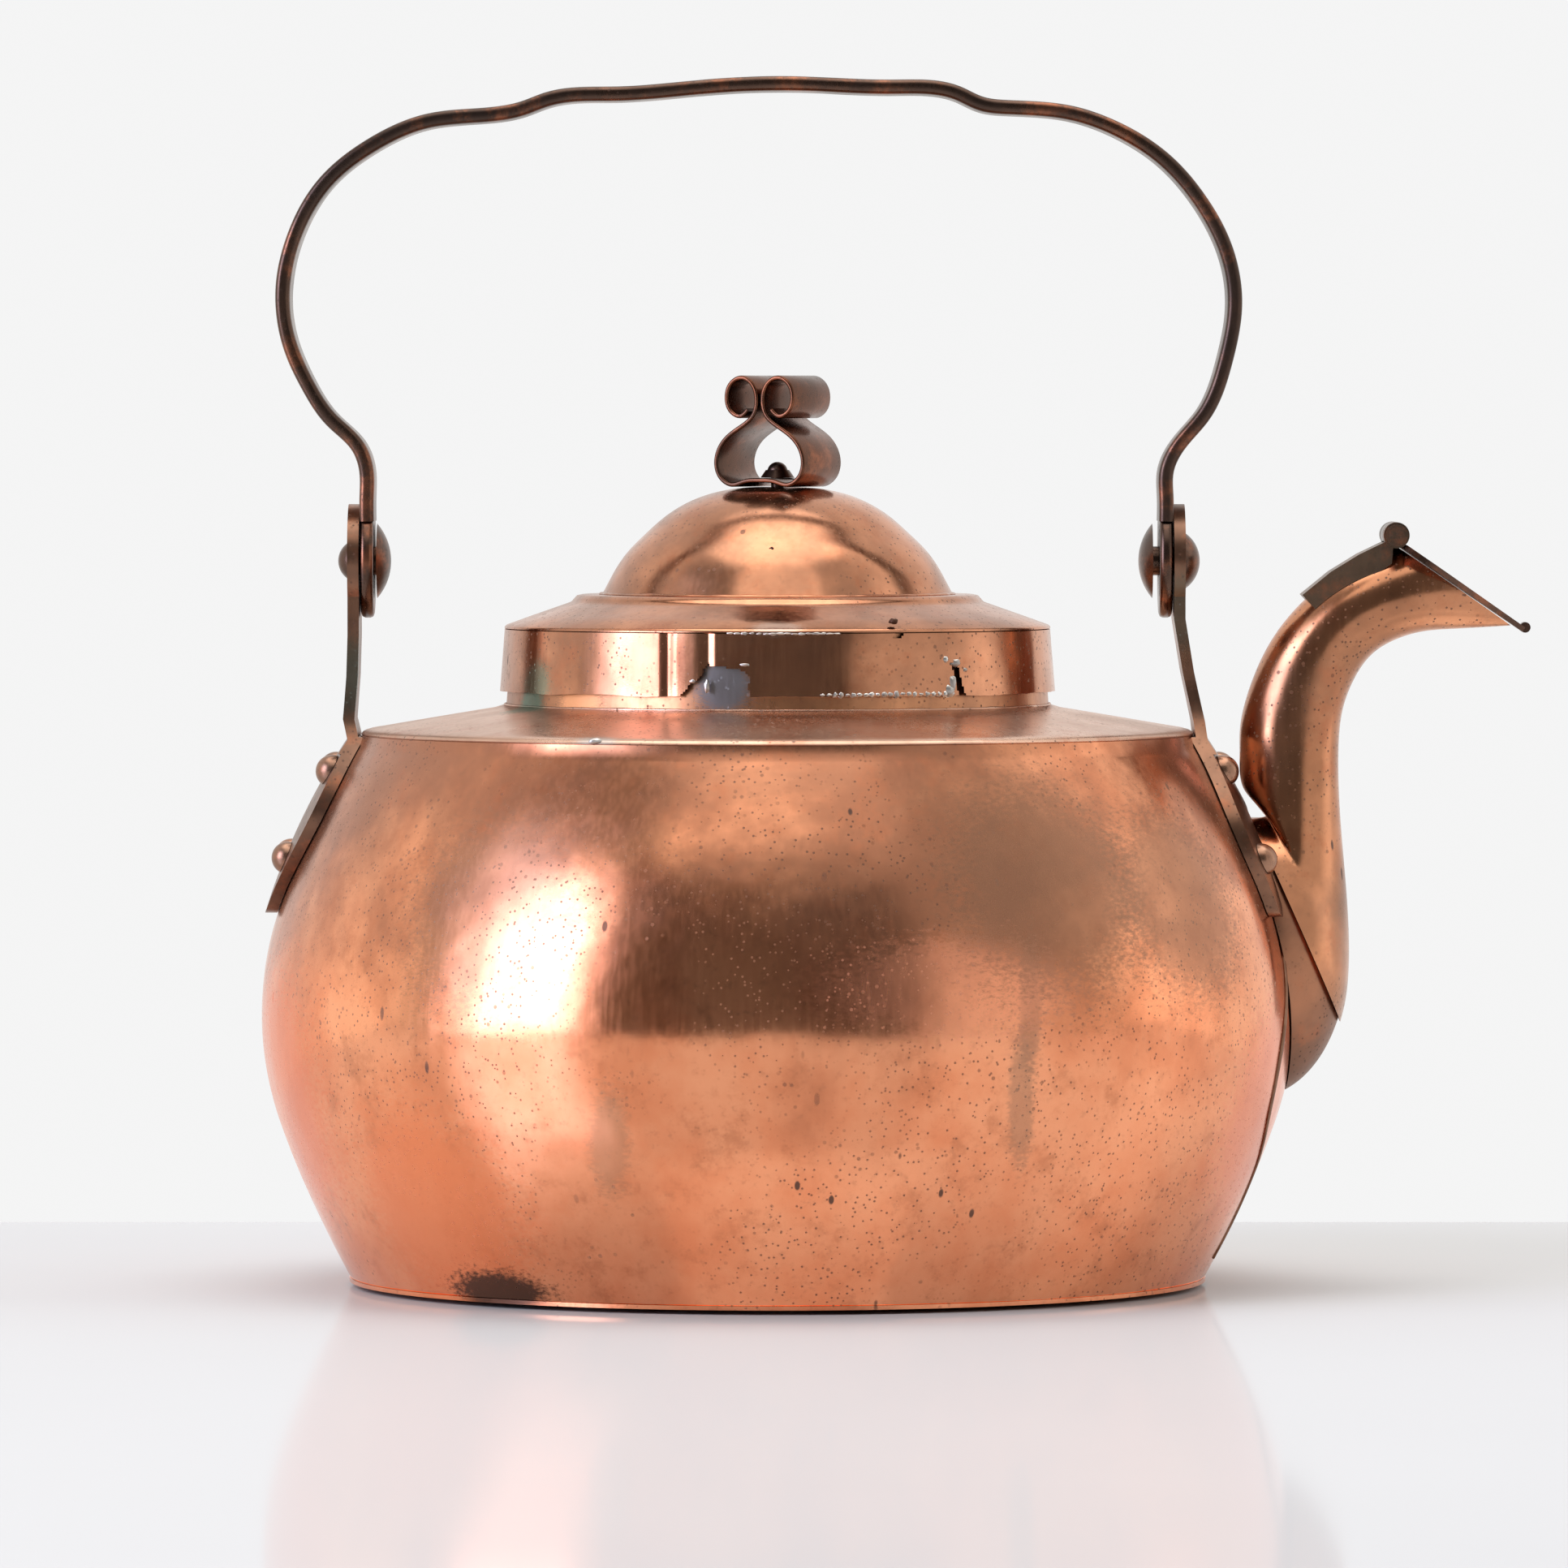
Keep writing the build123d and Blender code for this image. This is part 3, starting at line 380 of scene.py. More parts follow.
def copper(name, light, dark, brown, patina, rough, height=None, dirt_amount=0.9, marks=()):
    """Worn copper: light and dark metal, brown patina in patches, red mottling, dirt and fine scratches.

    Each of marks is (point, radius, colour, strength), and may end with a stretch along the axes.
    """
    mat, t, bsdf = new_material(name)
    base = t.coords()
    cloud = t.noise(scale=38, detail=4, rough=0.6, coords=base)
    fine = t.noise(scale=420, detail=3, rough=0.7, coords=base)
    scratch = t.noise(scale=900, detail=2, rough=0.5, coords=t.coords(scale=(1, 1, 0.03)))
    dents = t.noise(scale=26, detail=3, rough=0.5, coords=base)
    mottle = t.ramp(t.noise(scale=85, detail=5, rough=0.72, coords=base), 0.5, 0.7)
    mask = patina_mask(t, base, cloud, patina, height)
    dirt = dirt_mask(t, base, dirt_amount)

    color = t.mix(t.ramp(cloud, 0.35, 0.7), light, dark)
    color = t.mix(t.times(mask, PATINA_STRENGTH), color, brown)
    color = t.mix(t.times(mottle, MOTTLE_STRENGTH), color, MOTTLE_RED)
    color = t.mix(dirt, color, DIRT_BROWN)
    color = t.mix(t.times(t.ramp(fine, 0.55, 0.75), FINE_STRENGTH), color, brown)
    roughness = t.ramp(mask, 0, 1, rough, rough + PATINA_ROUGHER)
    roughness = t.add(roughness, t.ramp(scratch, 0.35, 0.7, -0.012, 0.03))
    roughness = t.add(roughness, t.times(dirt, DIRT_ROUGHER))
    for point, radius, tint, strength, *stretch in marks:
        spot = t.times(t.near(point, radius, *stretch), strength)
        color = t.mix(spot, color, tint)
        roughness = t.add(roughness, t.times(spot, MARK_ROUGHER))

    t.set(bsdf.inputs["Base Color"], color)
    t.set(bsdf.inputs["Roughness"], roughness)
    t.set(bsdf.inputs["Metallic"], t.ramp(t.most(t.times(mask, 0.2), dirt), 0, 1, 1.0, LEAST_METALLIC))
    t.bump(bsdf, [(dents, 0.35, 1.7), (cloud, 0.1, 0.5), (scratch, 0.02, 0.1), (fine, 0.06, 0.08)])
    return mat


def plain_metal(name, one, two, rough):
    """Rough metal clouded between two colours."""
    mat, t, bsdf = new_material(name)
    cloud = t.noise(scale=140, detail=4, rough=0.6, coords=t.coords())
    t.set(bsdf.inputs["Base Color"], t.mix(t.ramp(cloud, 0.35, 0.65), one, two))
    t.set(bsdf.inputs["Roughness"], t.ramp(cloud, 0.3, 0.7, rough - 0.06, rough + 0.1))
    bsdf.inputs["Metallic"].default_value = 1.0
    t.bump(bsdf, [(cloud, 0.3, 0.3)])
    return mat


BODY = copper(
    "copper_body", (1.0, 0.41, 0.21), (0.88, 0.3, 0.14), (0.29, 0.13, 0.075), patina=0.38, rough=0.14,
    height=(40, 118, 0.2),
    marks=(
        ((58, -112, 50), 13, (0.33, 0.19, 0.12), 0.5, (3.2, 1, 0.55)),
        ((60, -110, 74), 12, (0.3, 0.17, 0.11), 0.5, (3.2, 1, 0.55)),
        ((-119, -10, 112), 14, GREEN_DARK, 0.5),
        ((-40, -118, 40), 13, (0.45, 0.24, 0.14), 0.5, (2, 1, 0.7)),
        # The next three spots are painted glow: brighter red-orange copper at the lower left and right
        # edges, standing in for reflected warm light
        ((-120, -30, 48), 38, (0.92, 0.24, 0.1), 0.75),
        ((-84, -84, 22), 34, (0.95, 0.28, 0.12), 0.6),
        ((118, -34, 44), 34, (0.95, 0.3, 0.17), 0.65),
        ((40, -116, 78), 30, (1.0, 0.38, 0.22), 0.5, (0.7, 1, 2)),
        ((-66, -82, 4), 17, (0.1, 0.055, 0.04), 0.95, (0.9, 0.9, 2.6)),
        ((-70, -100, 96), 30, (0.3, 0.16, 0.1), 0.45),
        ((62, -96, 100), 34, (0.27, 0.14, 0.085), 0.6),
        ((95, -70, 96), 30, (0.27, 0.14, 0.085), 0.55),
    ),
)
TOP = copper(
    "copper_shoulder", (0.8, 0.51, 0.37), (0.68, 0.41, 0.29), (0.47, 0.29, 0.2), patina=0.5, rough=0.27,
    marks=(
        ((-44, -94, 136), 7, (0.55, 0.5, 0.45), 0.7),
        ((-60, -30, 146), 10, VERDIGRIS, 0.7),
    ),
)
COLLAR = copper(
    "copper_collar", (0.78, 0.36, 0.18), (0.55, 0.24, 0.12), (0.22, 0.12, 0.08), patina=0.55, rough=0.28,
    marks=(
        ((-13, -65, 149), 9, (0.24, 0.25, 0.26), 0.9),
        ((-48, -46, 144), 9, (0.9, 0.42, 0.2), 0.9),
        ((-60, -29, 143), 8, VERDIGRIS, 0.8),
    ),
)
LID = copper(
    "copper_lid", (0.74, 0.33, 0.18), (0.56, 0.24, 0.13), (0.28, 0.14, 0.085), patina=0.52, rough=0.15,
    marks=(
        ((0, -67, 163), 8, (0.75, 0.66, 0.58), 0.4, (1, 1, 3)),
        ((-2, -40, 186), 4, (0.1, 0.06, 0.05), 0.9),
        ((-58, -34, 148), 8, VERDIGRIS, 0.6),
        ((-30, -60, 155), 12, (0.36, 0.1, 0.05), 0.5),
    ),
)
SPOUT = copper(
    "copper_spout", (0.66, 0.29, 0.15), (0.5, 0.215, 0.11), (0.25, 0.13, 0.08), patina=0.52, rough=0.18,
)
ROOT = copper(
    "copper_root", (0.5, 0.22, 0.12), (0.38, 0.17, 0.1), (0.2, 0.11, 0.075), patina=0.62, rough=0.3,
)
BAIL = copper(
    "copper_bail", (0.15, 0.085, 0.06), (0.105, 0.062, 0.046), (0.055, 0.038, 0.03), patina=0.55, rough=0.24,
    dirt_amount=0.5,
)
LUG = copper(
    "copper_lug", (0.4, 0.2, 0.12), (0.28, 0.14, 0.085), (0.12, 0.072, 0.052), patina=0.62, rough=0.26,
    dirt_amount=0.7,
    marks=(
        ((-105, -12, 150), 12, GREEN_DARK, 0.6),
        ((99, -12, 166), 12, GREEN_DARK, 0.5),
    ),
)
KNOB = copper(
    "copper_knob", (0.22, 0.075, 0.036), (0.15, 0.055, 0.03), (0.06, 0.042, 0.03), patina=0.5, rough=0.19,
    dirt_amount=0.5,
)
RIVET = copper(
    "copper_rivet", (0.5, 0.27, 0.17), (0.36, 0.19, 0.12), (0.18, 0.11, 0.08), patina=0.5, rough=0.24,
    dirt_amount=0.4,
)
BRASS = copper(
    "dark_brass", (0.2, 0.13, 0.085), (0.13, 0.09, 0.062), (0.065, 0.055, 0.042), patina=0.55, rough=0.34,
    dirt_amount=0.6,
)
SOLDER = plain_metal("solder", (0.78, 0.76, 0.72), (0.5, 0.46, 0.42), rough=0.34)
# Dark metal for the pits in the lid, and for the painted shadow in the shoulder's crease
CREASE_SHADE_AND_PIT_DIRT = plain_metal("pit_dirt_and_crease_shade", (0.05, 0.03, 0.025), (0.12, 0.06, 0.04), rough=0.6)
SEAM = plain_metal("seam_brown", (0.2, 0.1, 0.06), (0.3, 0.16, 0.1), rough=0.4)

# The CAD nodes that stay in view take their slot's material, or one of their own
SLOT_MATERIAL = {
    "copper_body": BODY,
    "copper_spout": SPOUT,
    "brass_hinge": BRASS,
    "copper_lug": LUG,
    "copper_rivet": RIVET,
    "copper_bail": BAIL,
    "copper_lid": LID,
}
OWN_MATERIAL = {
    "spout_root": ROOT,
    "pivot_rivet_back": BAIL,
    "pivot_rivet_front": BAIL,
    "spout_flap": BAIL,
    "spout_hinge_pin": BRASS,
    "knob_rivet": BAIL,
    "knob_washer": BAIL,
}


def dress_cad_nodes():
    """Gives every CAD node its look."""
    for part in frame["record"]["subparts"]:
        node = frame["nodes"][part["node"]]
        material = OWN_MATERIAL.get(part["node"], SLOT_MATERIAL[part["material_slot"]])
        for holder in node.material_slots:
            holder.material = material
        if not node.material_slots:
            node.data.materials.append(material)


# Bowl: three arcs, pierced behind the spout, with a seam down its right side

BELLY_RADIUS = 127.4
BELLY_HEIGHT = 66.4
BELLY_CURVE = 78.0
BELLY_CENTRE = (BELLY_RADIUS - BELLY_CURVE, BELLY_HEIGHT)
BASE_EDGE = (105.6, 2.0)
SHOULDER_EDGE = (102.0, 135.4)
LOWER_JOIN = -20.0
UPPER_JOIN = 16.0
BOWL_SHEET = 1.0

STRAINER_X = 118
STRAINER_HEIGHT = 76
STRAINER_PITCH = 8
STRAINER_ROWS = 5
STRAINER_COLUMNS = 3
STRAINER_HOLE_RADIUS = 2.3
STRAINER_CUT_LENGTH = 30

SEAM_WIDTH = 2.0
SEAM_RISE = 0.5
SEAM_SUNK = 0.45 * SEAM_RISE
SEAM_STEPS = 90
SEAM_SIDES = 10
SEAM_PIXELS = (
    (1571, 1138), (1579, 1180), (1581, 1225), (1573, 1292),
    (1560, 1362), (1545, 1433), (1521, 1492), (1493, 1546),
)


def flank(end, join):
    """The arc that carries on smoothly from the belly's at an angle and passes through an end."""
    d = (cos(radians(join)), sin(radians(join)))
    dx, dz = end[0] - BELLY_CENTRE[0], end[1] - BELLY_CENTRE[1]
    shift = (dx * dx + dz * dz - BELLY_CURVE**2) / (2 * (BELLY_CURVE - dx * d[0] - dz * d[1]))
    centre = (BELLY_CENTRE[0] - shift * d[0], BELLY_CENTRE[1] - shift * d[1])
    end_angle = degrees(atan2(end[1] - centre[1], end[0] - centre[0]))
    return centre, BELLY_CURVE + shift, end_angle


low_centre, low_radius, low_end = flank(BASE_EDGE, LOWER_JOIN)
high_centre, high_radius, high_end = flank(SHOULDER_EDGE, UPPER_JOIN)
BOWL_ARCS = (
    (low_centre, low_radius, low_end, LOWER_JOIN),
    (BELLY_CENTRE, BELLY_CURVE, LOWER_JOIN, UPPER_JOIN),
    (high_centre, high_radius, UPPER_JOIN, high_end),
)


def bowl_profile(grow, rows):
    """The bowl's outline as points, grown outwards by an amount."""
    pts = []
    for centre, radius, start, end in BOWL_ARCS:
        for k in range(1 if pts else 0, rows + 1):
            a = radians(start + (end - start) * k / rows)
            pts.append((centre[0] + (radius + grow) * cos(a), centre[1] + (radius + grow) * sin(a)))
    return pts


def wall_line(grow, rows):
    """The part of the outline between the bowl's edges, with its ends set on their heights."""
    low, high = BASE_EDGE[1], SHOULDER_EDGE[1]
    line = [p for p in bowl_profile(grow, rows) if low <= p[1] <= high]
    line[0] = (line[0][0], low)
    line[-1] = (line[-1][0], high)
    return line


BOWL_OUTLINE = bowl_profile(0, 24)


def bowl_radius(z):
    return float(np.interp(z, [p[1] for p in BOWL_OUTLINE], [p[0] for p in BOWL_OUTLINE]))


def bowl_dents(x, y, z):
    """Broad and small hammer dents, all inwards."""
    r = hypot(x, y)
    deep = dent(x, y, z, depth=0.35, size=34, seed=3.1) + dent(x, y, z, depth=0.12, size=12, seed=7.7)
    k = (r - deep) / r
    return x * k, y * k, z


def strainer_cutter():
    """A block of rods along X, one for each of the strainer's holes."""
    rods = bmesh.new()
    for row in range(STRAINER_ROWS):
        for column in range(STRAINER_COLUMNS):
            y = (column - (STRAINER_COLUMNS - 1) / 2) * STRAINER_PITCH
            z = STRAINER_HEIGHT + (row - (STRAINER_ROWS - 1) / 2) * STRAINER_PITCH
            at = Vector((STRAINER_X * MM, y * MM, z * MM))
            rod = bmesh.ops.create_cone(
                rods, cap_ends=True, segments=20, depth=STRAINER_CUT_LENGTH * MM,
                radius1=STRAINER_HOLE_RADIUS * MM, radius2=STRAINER_HOLE_RADIUS * MM,
            )
            for v in rod["verts"]:
                v.co = Vector((v.co.z, v.co.y, -v.co.x)) + at
    mesh = bpy.data.meshes.new("strainer_cut")
    rods.to_mesh(mesh)
    rods.free()
    cutter = bpy.data.objects.new("strainer_cut", mesh)
    bpy.context.scene.collection.objects.link(cutter)
    return cutter


def pierce(wall, cutter):
    """Cuts the cutter's shape out of the wall and removes the cutter."""
    cut = wall.modifiers.new("strainer", "BOOLEAN")
    cut.operation = "DIFFERENCE"
    cut.object = cutter
    cut.solver = "FAST"
    bpy.context.view_layer.objects.active = wall
    bpy.context.view_layer.update()
    with bpy.context.temp_override(object=wall, active_object=wall, selected_objects=[wall]):
        bpy.ops.object.modifier_apply(modifier=cut.name)
    bpy.data.objects.remove(cutter)


def make_bowl():
    profile = wall_line(0, 34) + wall_line(-BOWL_SHEET, 20)[::-1]
    mesh = revolve(profile, segments=360, shape=bowl_dents)
    wall = make_object("bowl", *mesh, BODY, "pot", ("body_wall",), "copper_body")
    pierce(wall, strainer_cutter())


def make_side_seam():
    """A low bead along the bowl, thinner at its ends."""
    path = spline([behind_pixel(*p, bowl_radius) for p in SEAM_PIXELS], SEAM_STEPS)
    rows = []
    for i, p in enumerate(path):
        d = path[min(i + 1, SEAM_STEPS - 1)] - path[max(i - 1, 0)]
        d /= np.linalg.norm(d)
        out = np.array((p[0], p[1], 0.0)) / hypot(p[0], p[1])
        side = np.cross(d, out)
        side /= np.linalg.norm(side)
        end_share = 1 if 2 < i < SEAM_STEPS - 3 else 0.4
        w = SEAM_WIDTH * (0.5 + 0.12 * wave(*p, 6, 2.0)) * end_share
        row = []
        for a in turns(SEAM_SIDES):
            row.append(tuple(p + side * w * cos(a) + out * (SEAM_RISE * sin(a) - SEAM_SUNK)))
        rows.append(row)
    make_object("side_seam", *grid(rows, close_rows=False), SEAM, "pot", (), "copper_body", 60)


# Shoulder and collar, as closed outlines of (radius, z)

SHOULDER_OUTLINE = (
    (102.3, 135.45), (102.45, 135.8), (102.2, 136.2), (101.4, 136.65), (100.2, 137.0), (98, 137.35),
    (90, 138.7), (80, 140.4), (70, 142.05), (67.4, 142.85), (65.6, 142.85), (65.6, 141.85), (90, 137.7),
    (100, 136.0), (99.6, 135.45),
)
COLLAR_OUTLINE = (
    (66.8, 142.9), (66.5, 147), (66.2, 152), (66.0, 157),
    (65.9, 161.4), (64.9, 161.4), (65.0, 157), (65.8, 142.9),
)


def make_shoulder():
    mesh = revolve(SHOULDER_OUTLINE)
    make_object("shoulder", *mesh, TOP, "pot", ("shoulder_plate",), "copper_body", 50)


def make_collar():
    mesh = revolve(COLLAR_OUTLINE)
    make_object("collar", *mesh, COLLAR, "pot", ("neck_collar",), "copper_body", 50)


# The lid's skirt: a bent strip with a tear, a slit and a chip, drawn on the photograph's pixels

SKIRT_FOOT_RADIUS = 68.5
SKIRT_FOOT = 145.8
SKIRT_RISE = 15.65
SKIRT_TAPER = 1.2
SKIRT_SHEET = 0.9
SKIRT_ROWS = 26
SKIRT_BENT_BELOW = 150.5
SKIRT_BENT_HEIGHT = 5.0
SKIRT_LIFT = 0.55
SKIRT_LIFT_SWAY = 0.45
SKIRT_LIFT_RIPPLE = 0.12
CREASE_COLUMNS = (825, 873)
CREASE_HALF_WIDTH = 9
CREASE_DEPTH = 0.5
TEAR = (
    (838, 860), (840, 849), (849, 842), (853, 834), (864, 829), (868, 820), (874, 811), (881, 814),
    (891, 812), (900, 818), (911, 817), (923, 823), (926, 831), (921, 838), (927, 845), (924, 860),
)
TORN_SWAY = 0.35
SLIT_MIDDLE = (1176, 828)
SLIT_ROWS = (812, 862)
SLIT_LEAN = 0.25
SLIT_HALF_WIDTH = 4.2
CHIP_MIDDLE = (1106, 776)
CHIP_ROWS = (770, 781)
CHIP_LEAN = -1
CHIP_HALF_WIDTH = 6


def skirt_radius(z):
    return SKIRT_FOOT_RADIUS - SKIRT_TAPER * (z - SKIRT_FOOT) / SKIRT_RISE


def skirt_shape(x, y, z):
    """The skirt's uneven lower edge, its dents and its two creases."""
    a = atan2(y, x)
    low = max(0.0, (SKIRT_BENT_BELOW - z) / SKIRT_BENT_HEIGHT)
    sway = SKIRT_LIFT_SWAY * ring_wave(a, 5, 1.3)
    ripple = SKIRT_LIFT_RIPPLE * ring_wave(a, 30, 4)
    lift = low * (SKIRT_LIFT + sway + ripple)
    r = hypot(x, y)
    deep = dent(x, y, z, depth=0.22, size=14, seed=5.0)
    if y < 0:
        px = AXIS_COLUMN + x / PIXEL
        for column in CREASE_COLUMNS:
            deep += CREASE_DEPTH * max(0.0, 1 - abs(px - column) / CREASE_HALF_WIDTH)
    k = (r - deep) / r
    return x * k, y * k, z + lift


def inside(px, py, outline):
    """Whether a pixel is inside an outline, by counting the sides to its right."""
    hit = False
    for (ax, ay), (bx, by) in zip(outline, outline[1:] + outline[:1]):
        if (ay > py) != (by > py) and px < (bx - ax) * (py - ay) / (by - ay) + ax:
            hit = not hit
    return hit


def in_slot(px, py, middle, rows, lean, half_width):
    """Whether a pixel lies in a leaning slot through a middle, between two rows."""
    column = middle[0] + (py - middle[1]) * lean
    return abs(px - column) < half_width and rows[0] < py < rows[1]


def is_torn(x, y, z):
    """Whether a point of the skirt's near side lies in the tear, the slit or the chip."""
    if y > 0:
        return False
    px, py = AXIS_COLUMN + x / PIXEL, TABLE_ROW - z / PIXEL
    ragged = 1 + TORN_SWAY * wave(x, y, z, 1.6, 9.0)
    slit = in_slot(px, py, SLIT_MIDDLE, SLIT_ROWS, SLIT_LEAN, SLIT_HALF_WIDTH * ragged)
    chip = in_slot(px, py, CHIP_MIDDLE, CHIP_ROWS, CHIP_LEAN, CHIP_HALF_WIDTH * ragged)
    return inside(px, py, TEAR) or slit or chip


def make_skirt():
    heights = [SKIRT_FOOT + SKIRT_RISE * k / SKIRT_ROWS for k in range(SKIRT_ROWS + 1)]
    outer = [(skirt_radius(z), z) for z in heights]
    inner = [(r - SKIRT_SHEET, z) for r, z in outer]
    verts, faces = revolve(outer + inner[::-1], segments=720, shape=skirt_shape)
    whole = [f for f in faces if not is_torn(*np.mean([verts[i] for i in f], axis=0))]
    make_object("skirt", verts, whole, LID, "lid", ("lid_skirt",), "copper_lid", 50)


# The lid's plate and dome

PLATE_OUTLINE = (
    (66.9, 161.5), (67.25, 161.7), (67.2, 162.1), (66.7, 162.55), (60, 164.95), (52, 167.75),
    (50.8, 168.2), (50.2, 168.9), (49.4, 169.75), (48.2, 170.0), (45, 169.98), (40.3, 170.0),
    (40.3, 169.1), (48, 169.1), (50.2, 167.3), (64.7, 162.4), (64.7, 161.5),
)
DOME_LINE = (
    (43.3, 170.05), (41.9, 172.7), (39.7, 176.7), (36.8, 180.7), (32.8, 184.7), (28.4, 188.7),
    (22.3, 192.6), (15.6, 195.1), (7.0, 196.35), (0.3, 196.4),
)
DOME_SHEET_ACROSS = 0.75
DOME_SHEET_UP = 0.6
DOME_LEAST_RADIUS = 0.2
DOME_CALM_RADIUS = 15


def make_lid_plate():
    mesh = revolve(PLATE_OUTLINE)
    make_object("lid_plate", *mesh, LID, "lid", ("lid_top",), "copper_lid", 50)


def dome_dents(x, y, z):
    """Shallow dents that fade towards the dome's top."""
    r = max(hypot(x, y), 0.01)
    share = min(1, r / DOME_CALM_RADIUS)
    deep = dent(x, y, z, depth=0.25, size=13, seed=2.2) * share
    sunk = dent(x, y, z, depth=0.1, size=9, seed=6.1) * share
    return x * (r - deep) / r, y * (r - deep) / r, z - sunk


def make_dome():
    outer = [tuple(p) for p in spline(DOME_LINE, 48)]
    inner = [(max(r - DOME_SHEET_ACROSS, DOME_LEAST_RADIUS), z - DOME_SHEET_UP) for r, z in outer]
    mesh = revolve(outer + inner[::-1], shape=dome_dents)
    make_object("dome", *mesh, LID, "lid", ("lid_dome",), "copper_lid", 50)


# Beads and blobs of solder and dirt, and a dark bead of painted shadow in the shoulder's crease

def make_bead_ring(name, material, body, slot, radius, z, across, up, seed):
    """An uneven bead round the pot's axis."""
    rows = []
    for a in turns(360):
        n = 0.7 + 0.45 * ring_wave(a, 9, seed)
        row = []
        for b in turns(8):
            r = radius + across * n * cos(b)
            row.append((r * cos(a), r * sin(a), z + up * n * sin(b)))
        rows.append(row)
    make_object(name, *grid(rows), material, body, (), slot, 60)


def make_bead_rings():
    make_bead_ring(
        "dome_solder", LID, "lid", "copper_lid",
        radius=43.2, z=170.1, across=0.9, up=0.55, seed=1.0,
    )
    # Painted shadow: a dark bead in the crease under the shoulder plate's edge
    make_bead_ring(
        "shoulder_painted_crease_shadow", CREASE_SHADE_AND_PIT_DIRT, "pot", "copper_body",
        radius=101.6, z=135.42, across=0.55, up=0.16, seed=2.0,
    )
    make_bead_ring(
        "collar_solder", TOP, "pot", "copper_body",
        radius=67.1, z=142.95, across=0.5, up=0.45, seed=3.0,
    )


def blob_mesh(at, size, seed):
    """A lumpy ball of three half-widths."""
    rows = []
    for i in range(1, 10):
        b = pi * i / 10
        row = []
        for a in turns(18):
            d = Vector((sin(b) * cos(a), sin(b) * sin(a), cos(b)))
            n = 1 + 0.3 * noise.noise(d * 1.7 + Vector((seed, seed, 0)))
            row.append(tuple(at[j] + size[j] * d[j] * n for j in range(3)))
        rows.append(row)
    return capped(rows)


# Solder on the skirt as (pixel column, pixel row, half-width, half-height); none is lower than SOLDER_LOWEST
SOLDER_SPOTS = (
    (1160, 807, 1.1, 0.8), (1172, 811, 1.5, 1.0), (1184, 820, 0.8, 0.6), (1168, 836, 1.3, 2.0),
    (1163, 845, 1.6, 1.5), (920, 812, 1.5, 0.4), (873, 838, 0.7, 1.6), (856, 832, 0.8, 0.5),
)
SOLDER_DEPTH = 0.5
SOLDER_SUNK = 0.3
SOLDER_LOWEST = 146.7


def solder_run(count, column, step, row, sway, seeds, width, height):
    """Uneven spots side by side; width and height are (least, spread)."""
    spots = []
    for k in range(count):
        px = column + step * k
        py = row - sway * wave(k, seeds[0], 1, 1.7)
        w = width[0] + width[1] * abs(wave(k, seeds[1], 5, 1.3))
        h = height[0] + height[1] * abs(wave(k, seeds[2], 2, 1.1))
        spots.append((px, py, w, h))
    return spots


def make_skirt_solder():
    spots = list(SOLDER_SPOTS)
    spots += solder_run(
        22, column=1012, step=7.4, row=849, sway=2,
        seeds=(3, 1, 7), width=(0.7, 0.8), height=(0.4, 0.9),
    )
    spots += solder_run(
        16, column=902, step=8.5, row=774.5, sway=1,
        seeds=(9, 4, 8), width=(0.8, 1.4), height=(0.25, 0.5),
    )
    parts = []
    for i, (px, py, w, h) in enumerate(spots):
        x, y, z = behind_pixel(px, py, lambda z: skirt_radius(z) - 0.1)
        at = (x, y + SOLDER_SUNK, max(z, SOLDER_LOWEST))
        parts.append(blob_mesh(at, (w, SOLDER_DEPTH, h), i * 1.7))
    make_object("skirt_solder", *merge(*parts), SOLDER, "lid", (), "copper_lid", 80)


def make_blobs():
    """A blob of solder at the shoulder's edge, and a dark pit in the lid's plate and in its dome."""
    for name, at, size, material, body, slot, seed in (
        ("shoulder_solder", (-43.5, -92.9, 136.3), (1.5, 0.6, 0.7), SOLDER, "pot", "copper_body", 4.0),
        ("lid_pit", (28, -59.6, 164.35), (1.1, 1.1, 0.7), CREASE_SHADE_AND_PIT_DIRT, "lid", "copper_lid", 5.0),
        ("dome_pit", (-1.4, -35.6, 180.9), (0.9, 0.5, 1.1), CREASE_SHADE_AND_PIT_DIRT, "lid", "copper_lid", 6.0),
    ):
        make_object(name, *blob_mesh(at, size, seed), material, body, (), slot, 80)


# Knob: one strap, mirrored about its middle and turned about the pot's axis

KNOB_TURN = radians(-27.5)
KNOB_LOW = 197.0
KNOB_WIDTH = 20.0
KNOB_SHEET = 1.1
KNOB_EDGE = 0.45
KNOB_MIDDLE = (0.0, 1.1)
KNOB_HALF = (
    (4.2, 0.8), (7.6, 0.0), (10.9, 1.9), (12.0, 5.9), (10.0, 10.6), (5.4, 14.1), (1.7, 17.2), (0.85, 21.0),
    (1.9, 24.5), (4.9, 26.3), (8.0, 24.8), (9.1, 21.2), (7.8, 17.9), (5.2, 16.9), (3.3, 18.4),
)


def knob_place(x, z, across):
    """The strap's own directions turned about the axis and set on the dome."""
    return (
        x * cos(KNOB_TURN) + across * sin(KNOB_TURN),
        x * sin(KNOB_TURN) - across * cos(KNOB_TURN),
        KNOB_LOW + z,
    )


def make_knob():
    mirrored = [(-x, z) for x, z in KNOB_HALF[::-1]]
    line = spline([*mirrored, KNOB_MIDDLE, *KNOB_HALF], 220)
    section = rounded(KNOB_WIDTH, KNOB_SHEET, KNOB_EDGE, 3)
    mesh = strap(line, lambda u: section, knob_place)
    make_object("knob", *mesh, KNOB, "lid", ("lid_knob",), "copper_lid", 60)


# Bail: a strap bow from the back eye to the spout's, which stand upright at their own distances

